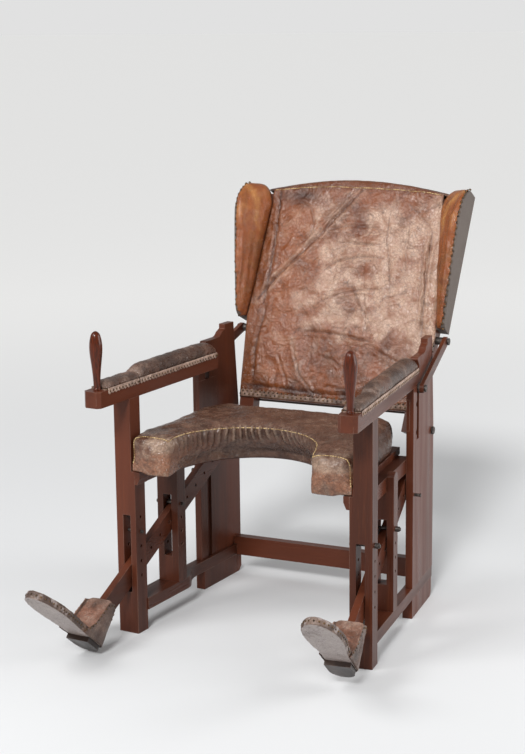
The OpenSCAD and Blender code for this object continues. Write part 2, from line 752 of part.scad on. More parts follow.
// A band-shaped skin: each ring runs out along its front and home along its underside.
module band_loft(rings) {
  n = len(rings[0]);
  m = len(rings);
  sides = [for (i = [0:m - 2], j = [0:n - 1])
    let (a = i * n + j, b = i * n + (j + 1) % n) each [[a, b, b + n], [a, b + n, a + n]]];
  half = n / 2;
  start = [for (j = [0:half - 2]) each [[j + 1, j, n - 1 - j], [j + 1, n - 1 - j, n - 2 - j]]];
  last = (m - 1) * n;
  stop = [for (f = start) [last + f[0], last + f[2], last + f[1]]];
  polyhedron([for (r = rings) each r], concat(sides, start, stop), convexity = 8);
}

module back_upholstery() {
  stations = 20;
  color(leather) on_back()
    band_loft([for (i = [0:stations]) back_ring(-1 + 2 * i / stations)]);
}

// Reach of a wing ahead of the stile's front face, at height t up the slope.
function wing_front(t) = let (
    rise = min(1, max(0, (t - wing_t0) / (wing_top - wing_dome - wing_t0))),
    body = mix(wing_foot, wing_reach, 1 - pow(1 - rise, 1.15)) * nose(t - wing_t0, wing_foot),
    up = (t - (wing_top - wing_dome)) / wing_dome)
  t <= wing_top - wing_dome ? body : body * sqrt(max(0, 1 - up * up));

// Heights of a wing's sections, from its rounded foot to the shoulder of its dome.
function wing_heights(n) = concat([for (a = [0:22.5:67.5]) wing_t0 + wing_foot * (1 - cos(a))],
  [for (i = [0:n]) mix(wing_t0 + wing_foot, wing_top - wing_dome, i / n)]);

// Distance out from the stile's outer face to the board's outer face, d behind the front.
function wing_out(d) = wing_root_t + (stile_d + stile_front - d) * tan(wing_flare);

module wing_board(s) {
  rear = stile_front + stile_d;
  far = 100;
  trim = 3;
  dome = [for (i = [1:9]) wing_top - wing_dome + (wing_dome - trim) * sin(10 * i)];
  shin = [for (t = wing_heights(11)) [stile_front - max(0, wing_front(t) - trim), t + trim]];
  edge = concat(shin, [for (t = dome) [stile_front - max(0, wing_front(t) - trim), t]]);
  color(dark_wood) on_back() translate([s * stile_half, 0, 0]) rotate([0, s * stile_lean, 0])
    mirror([s > 0 ? 0 : 1, 0, 0]) intersection() {
      linear_extrude(wing_top) polygon([[0, rear], [wing_root_t, rear], [wing_out(-far), -far],
        [wing_out(-far) - wing_board_t, -far],
        [wing_out(stile_front) - wing_board_t, stile_front], [0, stile_front]]);
      multmatrix([[0, 0, 1, -1], [1, 0, 0, 0], [0, 1, 0, 0]]) linear_extrude(far)
        polygon(concat([[rear, wing_t0]], edge, [[rear, wing_top - 4]]));
    }
}

// Section of a wing's stuffing at height t, as [x outward from the middle, depth].
function wing_ring(t) = let (
    reach = max(5, wing_front(t)), lean = tan(stile_lean), skin = 0.4,
    side = stile_half + t * lean, inner = leather_half(min(t, stile_top + 4)) + 1,
    cap = t > wing_top - wing_dome ? min(1, reach / wing_reach + 0.1) : 1,
    base = stile_front - skin,
    board = side + wing_out(base) - wing_board_t - skin,
    tip = side + wing_out(base - reach) - wing_board_t - skin,
    root = mix(board - 18, inner, cap), d_tip = base - reach, fat = min(16, reach * 0.34))
  [[board, base], [root, base], [root, base - fat * 0.8],
   [mix(root, tip, 0.12), base - fat * 1.25 - reach * 0.06],
   [mix(root, tip, 0.32), base - fat * 1.3 - reach * 0.22],
   [mix(root, tip, 0.55), base - fat * 1.15 - reach * 0.46],
   [mix(root, tip, 0.76), base - fat * 0.7 - reach * 0.7],
   [mix(root, tip, 0.92), d_tip - fat * 0.22], [tip + wing_board_t * 0.35, d_tip - fat * 0.3],
   [tip + wing_board_t * 0.9, d_tip - 1.5], [tip + wing_board_t * 0.95, d_tip + 0.5],
   [tip - 0.5, d_tip + 2.6], [mix(tip, board, 0.5), base - reach * 0.5 + 1]];

module wing_pad(s) {
  heights = concat(wing_heights(11),
                   [for (a = [12, 24, 36, 47, 57, 66, 74, 81]) wing_top - wing_dome * (1 - sin(a))]);
  color(leather) on_back() mirror([s > 0 ? 0 : 1, 0, 0])
    loft([for (t = heights) [for (q = wing_ring(t)) [q[0], q[1], t]]]);
}

// Pins of the back: each turns in a rear board and is fixed in a stile, with a collar between.
module back_pivot_pins() {
  face = stile_out(-pivot_drop) + 0.6;
  board_in = inner_x(post_t, pivot[0]);
  board_out = inner_x(0, pivot[0]);
  head = 4;
  color(iron) for (s = [LEFT, RIGHT]) mirror([s > 0 ? 0 : 1, 0, 0])
    placed() translate([0, pivot[0], pivot[1]]) {
      rod(stile_half - 29, board_out + 2 + head, pivot_r);
      rod(face, board_in - 1.2, pivot_r + 5);
      rod(board_out + 2, board_out + 2 + head, pivot_r + 4);
    }
}

// Pins of the stays: each is fixed in a stile, with a collar that holds the stay off.
module stay_pins() {
  face = stile_out(stay_pin_t) + 1.2;
  inner = inner_x(stay_u + stay_t, stay_pin[0]);
  outer = inner_x(stay_u, stay_pin[0]);
  head = 4;
  color(iron) for (s = [LEFT, RIGHT]) mirror([s > 0 ? 0 : 1, 0, 0])
    placed() translate([0, stay_pin[0], stay_pin[1]]) {
      rod(stile_half - 13, outer + 2 + head, stay_pin_r);
      rod(face, inner - 1.6, stay_pin_r + 5);
      rod(outer + 2, outer + 2 + head, stay_pin_r + 4);
    }
}

module stay(s) {
  color(wood) difference() {
    on_side(s) translate([stay_u, slot_v, stay_peg_z]) rotate([stay_rise, 0, 0]) difference() {
      union() {
        translate([0, 0, -stay_d / 2]) cube([stay_t, stay_len, stay_d]);
        rod(0, stay_t, stay_d / 2);
        translate([0, stay_len, 0]) rod(0, stay_t, stay_d / 2);
      }
      rod(-1, stay_t + 1, stay_peg_r + running / 2);
    }
    placed() translate([0, stay_pin[0], stay_pin[1]])
      rod(s > 0 ? 0 : -half_w, s > 0 ? half_w : 0, stay_pin_r + running);
  }
}

module stay_peg(s) {
  collar_gap = 2.2;
  color(iron) on_side(s) translate([0, slot_v, stay_peg_z]) {
    rod(stay_u - 2, post_t - wear_t - 1, stay_peg_r);
    rod(stay_u + stay_t, -collar_gap, stay_peg_r + 6);
    rod(stay_u - 5, stay_u - 2, stay_peg_r + 3);
  }
}

module foot_bar(s) {
  past = 60;
  color(wood) difference() {
    on_bar(s) difference() {
      translate([bar_u - bar_t / 2, -bar_lower - past, -bar_d / 2])
        cube([bar_t, bar_lower + past + bar_upper, bar_d]);
      for (k = [0:bar_holes - 1])
        translate([0, bar_hole_first + k * bar_hole_pitch, 0])
          rod(bar_u - bar_t, bar_u + bar_t, peg_hole_r);
    }
    on_plate(s) translate([-plate_ball, -plate_len, -plate_len])
      cube([2 * plate_ball, 2 * plate_len, plate_len + plate_t]);
  }
}

// Half width of a foot plate at distance a from its heel: heel, waist, ball and toe.
function plate_half(a) = let (
    ball_a = 0.7 * plate_len, waist_a = 0.3 * plate_len,
    body = a < waist_a ? mix(plate_heel, plate_waist, ease(a / waist_a))
                       : mix(plate_waist, plate_ball, ease((a - waist_a) / (ball_a - waist_a))),
    toe = a > ball_a ? sqrt(max(0, 1 - pow((a - ball_a) / (plate_len - ball_a), 2))) : 1)
  body * toe;

// Outline of a foot plate, grown by g, from the heel to distance a1.
function plate_outline(g, a1, n) = let (
    heel = arc([0, -plate_heel], plate_heel + g, 0, 180, 16),
    edge = [for (i = [1:n]) let (a = mix(plate_heel, a1, sin(90 * i / n)))
      [plate_half(a) + g, -a]])
  concat([for (i = [n - 1:-1:0]) edge[i]], heel, [for (p = edge) [-p[0], p[1]]]);

module foot_plate(s) {
  color(sole_leather) on_plate(s)
    linear_extrude(plate_t) polygon(plate_outline(0, plate_len, 22));
}

module heel_block(s) {
  color(dark_wood) on_plate(s) translate([0, 0, -heel_t])
    linear_extrude(heel_t) polygon(plate_outline(-2, heel_len, 6));
}

// Extrudes a side outline, as [y, z], across the whole width of a foot plate.
module across_plate() {
  multmatrix([[0, 0, 1, -plate_ball], [1, 0, 0, 0], [0, 1, 0, 0]])
    linear_extrude(2 * plate_ball) children();
}

// Heel cup: cheeks round the heel, and a counter along the front of the foot bar.
module heel_cup(s) {
  reach = 112;
  skin = 0.2;
  rise = bar_slope + foot_pitch;
  ahead = (bar_d / 2 + (bar_z0 - heel_z) * cos(bar_slope) + heel_v * sin(bar_slope) + skin) / sin(rise);
  thick = cup_t / sin(rise);
  top = cup_cheek + counter_rise;
  corner = 14;
  wide = plate_waist + cup_t / 2;
  foot_y = plate_t / tan(rise) - ahead;
  top_y = top / tan(rise) - ahead;
  side = [[cup_t + 1, 0], [cup_t + 1, cup_back], [-4, cup_back], [-12, cup_cheek - 12],
          [-30, cup_cheek],
          [-54, cup_cheek - 6], [-82, 34], [-104, 13], [-reach, 0]];
  color(leather) on_plate(s) {
    intersection() {
      linear_extrude(cup_cheek) difference() {
        polygon(plate_outline(cup_t, reach, 8));
        polygon(plate_outline(skin, reach + 10, 8));
      }
      across_plate() polygon(side);
    }
    intersection() {
      linear_extrude(top) polygon(plate_outline(cup_t / 2, reach, 8));
      across_plate() polygon([[foot_y, plate_t], [top_y, top], [top_y - thick, top],
                              [foot_y - thick, plate_t]]);
      rotate([90, 0, 0]) linear_extrude(reach)
        polygon(concat([[-wide, 0], [wide, 0]], arc([wide - corner, top - corner], corner, 0, 90, 6),
                       arc([corner - wide, top - corner], corner, 90, 180, 6)));
    }
  }
}

// A peg with a turned head, pushed in from the outside of a post of width w.
module peg(w) {
  gap = 0.5;
  color(iron) {
    rod(-gap, w + peg_tail, peg_r);
    rod(-gap - peg_head_l, -gap, peg_head_r);
    rod(-gap - peg_head_l - 3, -gap - peg_head_l, peg_head_r - 2.5);
  }
}

module front_peg(s) {
  hole = s > 0 ? right_peg_hole : left_peg_hole;
  on_side(s) translate([0, leg_peg_v, leg_hole_lo + (hole - 1) * leg_hole_pitch]) peg(leg_w_low);
}

module middle_peg(s) {
  on_side(s) translate([0, mid_peg_v, mid_hole_hi]) peg(mid_w);
}

front_leg(LEFT);  // front_leg_left
front_leg(RIGHT);  // front_leg_right
middle_post(LEFT);  // middle_post_left
middle_post(RIGHT);  // middle_post_right
rear_post(LEFT);  // rear_post_left
rear_post(RIGHT);  // rear_post_right
rear_board(LEFT);  // rear_board_left
rear_board(RIGHT);  // rear_board_right
sole_rail(LEFT);  // sole_rail_left
sole_rail(RIGHT);  // sole_rail_right
rear_foot(LEFT);  // rear_foot_left
rear_foot(RIGHT);  // rear_foot_right
seat_rail(LEFT);  // seat_rail_left
seat_rail(RIGHT);  // seat_rail_right
seat_corbel(LEFT);  // seat_corbel_left
seat_corbel(RIGHT);  // seat_corbel_right
arm(LEFT);  // arm_left
arm(RIGHT);  // arm_right
arm_pad_front(LEFT);  // arm_pad_front_left
arm_pad_front(RIGHT);  // arm_pad_front_right
arm_pad_rear(LEFT);  // arm_pad_rear_left
arm_pad_rear(RIGHT);  // arm_pad_rear_right
arm_grip(LEFT);  // arm_grip_left
arm_grip(RIGHT);  // arm_grip_right
rear_stud(LEFT);  // rear_stud_left
rear_stud(RIGHT);  // rear_stud_right
slot_blocks();
filler_strips();
cross_stretcher();
seat_board();
seat_cushion();
back_stile(LEFT);  // back_stile_left
back_stile(RIGHT);  // back_stile_right
crest_rail();
back_foot_rail();
back_panel();
back_upholstery();
wing_board(LEFT);  // wing_board_left
wing_board(RIGHT);  // wing_board_right
wing_pad(LEFT);  // wing_pad_left
wing_pad(RIGHT);  // wing_pad_right
back_pivot_pins();
stay_pins();
stay(LEFT);  // stay_left
stay(RIGHT);  // stay_right
stay_peg(LEFT);  // stay_peg_left
stay_peg(RIGHT);  // stay_peg_right
foot_bar(LEFT);  // foot_bar_left
foot_bar(RIGHT);  // foot_bar_right
foot_plate(LEFT);  // foot_plate_left
foot_plate(RIGHT);  // foot_plate_right
heel_block(LEFT);  // heel_block_left
heel_block(RIGHT);  // heel_block_right
heel_cup(LEFT);  // heel_cup_left
heel_cup(RIGHT);  // heel_cup_right
front_peg(LEFT);  // front_peg_left
front_peg(RIGHT);  // front_peg_right
middle_peg(LEFT);  // middle_peg_left
middle_peg(RIGHT);  // middle_peg_right
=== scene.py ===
"""Dresses a birthing chair: painted wood, stuffed leather, nailed edging and worn foot rests.

The chair's wood and iron come from its CAD frame. This file gives them their finishes, and grows the
leather work round the frame. Lengths are metres, +Z is up and -Y is the front. Left and right are as
seen from the front.
"""

import logging
import math
from dataclasses import dataclass, field
from enum import Enum
from typing import Sequence

import bmesh
import bpy
import numpy as np
from mathutils import Matrix, Vector, noise
from mathutils.bvhtree import BVHTree


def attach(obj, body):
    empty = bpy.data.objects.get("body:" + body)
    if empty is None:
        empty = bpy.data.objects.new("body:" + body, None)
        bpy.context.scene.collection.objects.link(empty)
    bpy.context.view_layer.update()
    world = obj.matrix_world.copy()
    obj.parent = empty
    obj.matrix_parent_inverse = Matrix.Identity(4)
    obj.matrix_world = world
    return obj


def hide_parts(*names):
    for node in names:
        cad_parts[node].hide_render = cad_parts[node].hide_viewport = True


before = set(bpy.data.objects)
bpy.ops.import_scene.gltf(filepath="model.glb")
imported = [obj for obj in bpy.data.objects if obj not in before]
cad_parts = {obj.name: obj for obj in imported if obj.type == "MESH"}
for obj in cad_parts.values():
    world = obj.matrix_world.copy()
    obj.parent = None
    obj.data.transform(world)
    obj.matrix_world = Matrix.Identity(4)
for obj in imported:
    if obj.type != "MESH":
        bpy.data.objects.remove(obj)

LOG = logging.getLogger("birthing_chair")
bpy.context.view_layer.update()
MM = 0.001

Point = tuple[float, float, float]
Line = Sequence[tuple[float, float]]
Node = bpy.types.Node
Socket = bpy.types.NodeSocket


class Side(Enum):
    """A side of the chair, as the sign of its X."""

    LEFT = -1
    RIGHT = 1

    @property
    def word(self) -> str:
        """The side's name, as nodes and bodies spell it."""
        return self.name.lower()


class Grain(Enum):
    """Way the wood's grain runs, as the stretch of its pattern along X, Y and Z."""

    UPRIGHT = (1.0, 1.0, 0.06)
    ALONG = (1.0, 0.06, 1.0)
    ACROSS = (0.06, 1.0, 1.0)


@dataclass(frozen=True)
class Plan:
    """Main sizes of the chair's frame, as the CAD source has them."""

    half_w: float = 0.333
    splay: float = 5.0
    origin_y: float = 0.207636
    arm_top: float = 0.6292
    arm_w: float = 0.046
    arm_front: float = -0.1234
    pad_front: float = -0.086
    pad_joint: float = 0.048
    pad_rear: float = 0.407
    back_y: float = 0.535
    back_z: float = 0.493
    recline: float = 21.9
    stile_half: float = 0.254
    stile_lean: float = 3.4
    leather_top: float = 0.240
    crest_t: float = 0.604
    crest_r: float = 0.950
    wing_t0: float = 0.212
    bar_slope: float = 27.0
    bar_u: float = 0.029
    heel_v: float = -0.152524
    heel_z: float = 0.013681
    foot_pitch: float = 39.5
    stagger: float = 0.045

    def side(self, side: Side) -> Matrix:
        """Frame of one side: X inward from the outer face, Y rearward, Z up.

        Args:
            side: The side of the chair.

        Returns:
            The matrix from that side's own lengths to the chair's.
        """
        base = Matrix.Translation((-self.half_w, -self.origin_y, 0.0)) @ Matrix.Rotation(
            math.radians(-self.splay), 4, "Z"
        )
        return base if side is Side.LEFT else Matrix.Diagonal((-1.0, 1.0, 1.0, 1.0)) @ base

    def back(self) -> Matrix:
        """Frame of the back: X across, Y from the front face to the rear, Z up the slope."""
        return Matrix.Translation((0.0, self.back_y - self.origin_y, self.back_z)) @ Matrix.Rotation(
            math.radians(-self.recline), 4, "X"
        )

    def plate(self, side: Side) -> Matrix:
        """Frame of one foot plate: Y from the toe to the heel, Z off the top.

        Args:
            side: The side of the chair.

        Returns:
            The matrix from that plate's own lengths to the chair's.
        """
        push = self.stagger if side is Side.RIGHT else 0.0
        slope = math.radians(self.bar_slope)
        heel = (
            self.bar_u,
            self.heel_v + push * math.cos(slope),
            self.heel_z + push * math.sin(slope),
        )
        return self.side(side) @ Matrix.Translation(heel) @ Matrix.Rotation(
            math.radians(-self.foot_pitch), 4, "X"
        )

    def crest(self, x: float) -> float:
        """Height of the crest's arch up the slope, at distance x from the middle."""
        return self.crest_t - self.crest_r + math.sqrt(self.crest_r**2 - x * x)

    def stile_out(self, t: float) -> float:
        """Half width over the stiles at height t up the slope."""
        return self.stile_half + t * math.tan(math.radians(self.stile_lean))


PLAN = Plan()


# Materials


def srgb(code: str) -> tuple[float, float, float, float]:
    """Turns a hex colour, as seen on a screen, into the renderer's linear one.

    Args:
        code: The colour, such as "#5f2f22".

    Returns:
        Red, green, blue and alpha.
    """
    values = [int(code[i : i + 2], 16) / 255 for i in (1, 3, 5)]
    linear = [v / 12.92 if v <= 0.04045 else ((v + 0.055) / 1.055) ** 2.4 for v in values]
    return (linear[0], linear[1], linear[2], 1.0)


class Kind(Enum):
    """Kinds of node that the finishes and the studio are made of."""

    COORDINATES = "ShaderNodeTexCoord"
    MAPPING = "ShaderNodeMapping"
    NOISE = "ShaderNodeTexNoise"
    CELLS = "ShaderNodeTexVoronoi"
    BANDS = "ShaderNodeTexWave"
    PAINTED = "ShaderNodeAttribute"
    RANGE = "ShaderNodeMapRange"
    MATH = "ShaderNodeMath"
    VECTOR = "ShaderNodeVectorMath"
    MIX = "ShaderNodeMix"
    ROUNDED = "ShaderNodeBevel"
    GEOMETRY = "ShaderNodeNewGeometry"
    BUMP = "ShaderNodeBump"
    SHADER = "ShaderNodeBsdfPrincipled"
    FINISH = "ShaderNodeOutputMaterial"
    RAYS = "ShaderNodeLightPath"
    SKY = "ShaderNodeBackground"
    WORLD = "ShaderNodeOutputWorld"


# Settings of a node that mixes two colours, of one that rises smoothly and of one that stays from 0 to 1.
TINTS = {"data_type": "RGBA"}
SMOOTH = {"interpolation_type": "SMOOTHSTEP"}
CLAMPED = {"use_clamp": True}
# The sockets of a mixing node that take and give colours share their names with others, so they go by number.
UNDER, OVER, MIXED = 6, 7, 2


def add_node(tree: bpy.types.NodeTree, kind: Kind, inputs: dict | None = None, **settings: object) -> Node:
    """Adds one node, with its settings, and links or values on its inputs.

    Args:
        tree: The node tree of a material or of the world.
        kind: The node's kind.
        inputs: Input name or number, and the socket, value or hex colour for it.
        **settings: The node's own settings.

    Returns:
        The new node.
    """
    node = tree.nodes.new(kind.value)
    for key, value in settings.items():
        setattr(node, key, value)
    for key, value in (inputs or {}).items():
        if isinstance(value, bpy.types.NodeSocket):
            tree.links.new(value, node.inputs[key])
        else:
            node.inputs[key].default_value = srgb(value) if isinstance(value, str) else value
    return node


def per_metre(size: float) -> float:
    """How many patches of a size in millimetres a metre holds."""
    return 1.0 / (size * MM)


def clouds(place: Socket, size: float, detail: float = 4.0, rough: float = 0.55, twist: float = 0.0) -> dict:
    """Inputs of cloudy noise whose patches are so many millimetres wide."""
    grain = {"Detail": detail, "Roughness": rough, "Distortion": twist}
    return {"Vector": place, "Scale": per_metre(size)} | grain


def span(value: Socket, a: float, b: float, lo: float = 0.0, hi: float = 1.0) -> dict:
    """Inputs of a rise that takes a to lo and b to hi, and goes no further."""
    return {"Value": value, "From Min": a, "From Max": b, "To Min": lo, "To Max": hi}


@dataclass
class Bench:
    """A material's node tree, with the patterns that take several nodes."""

    name: str
    stretch: tuple[float, float, float] = (1.0, 1.0, 1.0)
    material: bpy.types.Material = field(init=False)
    tree: bpy.types.NodeTree = field(init=False)
    place: Socket = field(init=False)

    def __post_init__(self) -> None:
        """Starts an empty tree whose patterns read Object coordinates."""
        self.material = bpy.data.materials.new(self.name)
        self.material.use_nodes = True
        self.tree = self.material.node_tree
        self.tree.nodes.clear()
        own = add_node(self.tree, Kind.COORDINATES).outputs["Object"]
        self.place = add_node(self.tree, Kind.MAPPING, {"Vector": own, "Scale": self.stretch}).outputs[0]

    def laid_over(self, under: Socket | str, over: Socket | str, rise: dict) -> Socket:
        """Lays a colour over another where a pattern rises.

        Args:
            under: The colour beneath.
            over: The colour on top.
            rise: The pattern, where it rises, and from what share to what share.

        Returns:
            The mixed colour.
        """
        share = add_node(self.tree, Kind.RANGE, rise, **SMOOTH).outputs[0]
        return add_node(self.tree, Kind.MIX, {0: share, UNDER: under, OVER: over}, **TINTS).outputs[MIXED]

    def worn(self, name: str, pattern: Socket) -> Socket:
        """A value that was painted on the piece's points, broken up by a pattern.

        Args:
            name: Name of the painted value.
            pattern: The pattern.

        Returns:
            The value, kept from 0 to 1.
        """
        painted = add_node(self.tree, Kind.PAINTED, attribute_name=name).outputs["Fac"]
        return add_node(
            self.tree, Kind.MATH, {0: painted, 1: pattern}, operation="MULTIPLY", **CLAMPED
        ).outputs[0]

    def cracks(self, size: float, warp: float, wide: float) -> Socket:
        """Net of cracks: 1 in a crack, 0 between.

        Args:
            size: Width of the cells between the cracks, in millimetres.
            warp: How far the cells are pulled about, in metres.
            wide: Half width of a crack, as a share of a cell.

        Returns:
            The socket with the cracks.
        """
        swirl = {"Vector": self.place, "Scale": 0.35 * per_metre(size), "Detail": 3.0}
        wander = add_node(self.tree, Kind.NOISE, swirl).outputs["Color"]
        pull = add_node(self.tree, Kind.VECTOR, {0: wander, 1: (warp, warp, warp)}, operation="MULTIPLY")
        moved = add_node(self.tree, Kind.VECTOR, {0: self.place, 1: pull.outputs[0]}, operation="ADD")
        cell = add_node(
            self.tree, Kind.CELLS, {"Vector": moved.outputs[0], "Scale": per_metre(size)},
            feature="DISTANCE_TO_EDGE",
        ).outputs["Distance"]
        return add_node(self.tree, Kind.RANGE, span(cell, 0.0, wide, 1.0, 0.0), **SMOOTH).outputs[0]

    def edges(self, radius: float) -> Socket:
        """1 near the outer edges of the wood, 0 on its faces.

        Args:
            radius: How far in from an edge it reaches, in metres.

        Returns:
            The socket with the edges.
        """
        rounded = add_node(self.tree, Kind.ROUNDED, {"Radius": radius}, samples=4).outputs[0]
        flat = add_node(self.tree, Kind.GEOMETRY).outputs["Normal"]
        agree = add_node(self.tree, Kind.VECTOR, {0: rounded, 1: flat}, operation="DOT_PRODUCT")
        bent = span(agree.outputs["Value"], 0.995, 0.86)
        return add_node(self.tree, Kind.RANGE, bent, **SMOOTH).outputs[0]

    def relief(self, *layers: tuple[Socket, float, float], under: Socket | None = None) -> Socket:
        """Lays bumps over one another.

        Args:
            *layers: Each layer's height, its depth in metres and its strength.
            under: The normal beneath them, if it isn't the surface's own.

        Returns:
            The normal.
        """
        normal = under
        for height, depth, strength in layers:
            inputs = {"Height": height, "Distance": depth, "Strength": strength}
            if normal is not None:
                inputs["Normal"] = normal
            normal = add_node(self.tree, Kind.BUMP, inputs).outputs[0]
        return normal

    def close(self, inputs: dict) -> bpy.types.Material:
        """Ends the tree in one shader.

        Args:
            inputs: The shader's inputs.

        Returns:
            The finished material.
        """
        shader = add_node(self.tree, Kind.SHADER, inputs).outputs[0]
        add_node(self.tree, Kind.FINISH, {"Surface": shader})
        return self.material


@dataclass(frozen=True)
class PaintedWood:
    """Old red-brown paint on hardwood, rubbed thin along the edges."""

    name: str
    grain: Grain
    paint: str = "#592d1d"
    deep: str = "#3f2015"
    warm: str = "#6b3920"
    worn: str = "#8b6e60"

    def material(self) -> bpy.types.Material:
        """Satin oil paint: it shows brush marks, dark handling and bare, greyish corners.

        Brush marks are about 1 mm wide and specks of bare wood finer still. Both are drawn coarser, so that
        they show in the render.

        Returns:
            The material.
        """
        bench = Bench(self.name, self.grain.value)
        tree, place = bench.tree, bench.place
        patches = add_node(tree, Kind.NOISE, clouds(place, 111.1, 4.0, 0.6)).outputs["Fac"]
        streaks = add_node(tree, Kind.NOISE, clouds(place, 6.667, 5.0, 0.65)).outputs["Fac"]
        specks = add_node(tree, Kind.NOISE, clouds(place, 2.381, 3.0, 0.7)).outputs["Fac"]
        ragged = add_node(tree, Kind.NOISE, clouds(place, 22.22, 5.0, 0.7)).outputs["Fac"]
        handled = add_node(tree, Kind.NOISE, clouds(place, 33.33)).outputs["Fac"]
        colour = bench.laid_over(self.paint, self.deep, span(patches, 0.35, 0.68))
        colour = bench.laid_over(colour, self.warm, span(streaks, 0.5, 0.74, 0.0, 0.3))
        colour = bench.laid_over(colour, self.worn, span(specks, 0.68, 0.74, 0.0, 0.25))
        broken = add_node(tree, Kind.RANGE, span(ragged, 0.42, 0.62), **SMOOTH).outputs[0]
        rub = bench.edges(0.0025)
        for share in (broken, 0.75):
            rub = add_node(tree, Kind.MATH, {0: rub, 1: share}, operation="MULTIPLY", **CLAMPED).outputs[0]
        colour = add_node(tree, Kind.MIX, {0: rub, UNDER: colour, OVER: self.worn}, **TINTS).outputs[MIXED]
        rough = add_node(tree, Kind.RANGE, span(handled, 0.3, 0.75, 0.26, 0.44), **SMOOTH).outputs[0]
        rounded = add_node(tree, Kind.ROUNDED, {"Radius": 0.0015}, samples=4).outputs[0]
        return bench.close(
            {
                "Base Color": colour,
                "Roughness": rough,
                "Specular IOR Level": 0.22,
                "Normal": bench.relief((streaks, 0.0005, 0.5), under=rounded),
            }
        )


@dataclass(frozen=True)
class PolishedWood:
    """Hand-polished turned wood, darker where the grain is open."""

    name: str = "polished grip wood"
    light: str = "#561f07"
    dark: str = "#301204"

    def material(self) -> bpy.types.Material:
        """Varnished mahogany-coloured wood: its clear coat shines, and its open pores run up the grip.

        Pores lie about 0.3 mm apart. They are drawn ten times coarser, so that they show in the render.

        Returns:
            The material.
        """
        bench = Bench(self.name, (1.0, 1.0, 0.08))
        tree, place = bench.tree, bench.place
        fibres = add_node(tree, Kind.NOISE, clouds(place, 3.03, 5.0, 0.6, 0.3)).outputs["Fac"]
        shades = add_node(tree, Kind.NOISE, clouds(place, 41.67)).outputs["Fac"]
        handled = add_node(tree, Kind.NOISE, clouds(place, 16.67)).outputs["Fac"]
        colour = bench.laid_over(self.light, self.dark, span(fibres, 0.35, 0.7))
        colour = bench.laid_over(colour, self.dark, span(shades, 0.45, 0.75, 0.0, 0.6))
        rough = add_node(tree, Kind.RANGE, span(handled, 0.3, 0.7, 0.2, 0.34), **SMOOTH).outputs[0]
        return bench.close(
            {
                "Base Color": colour,
                "Roughness": rough,
                "Specular IOR Level": 0.25,
                "Coat Weight": 0.12,
                "Coat Roughness": 0.1,
                "Normal": bench.relief((fibres, 0.0002, 0.3)),
            }
        )


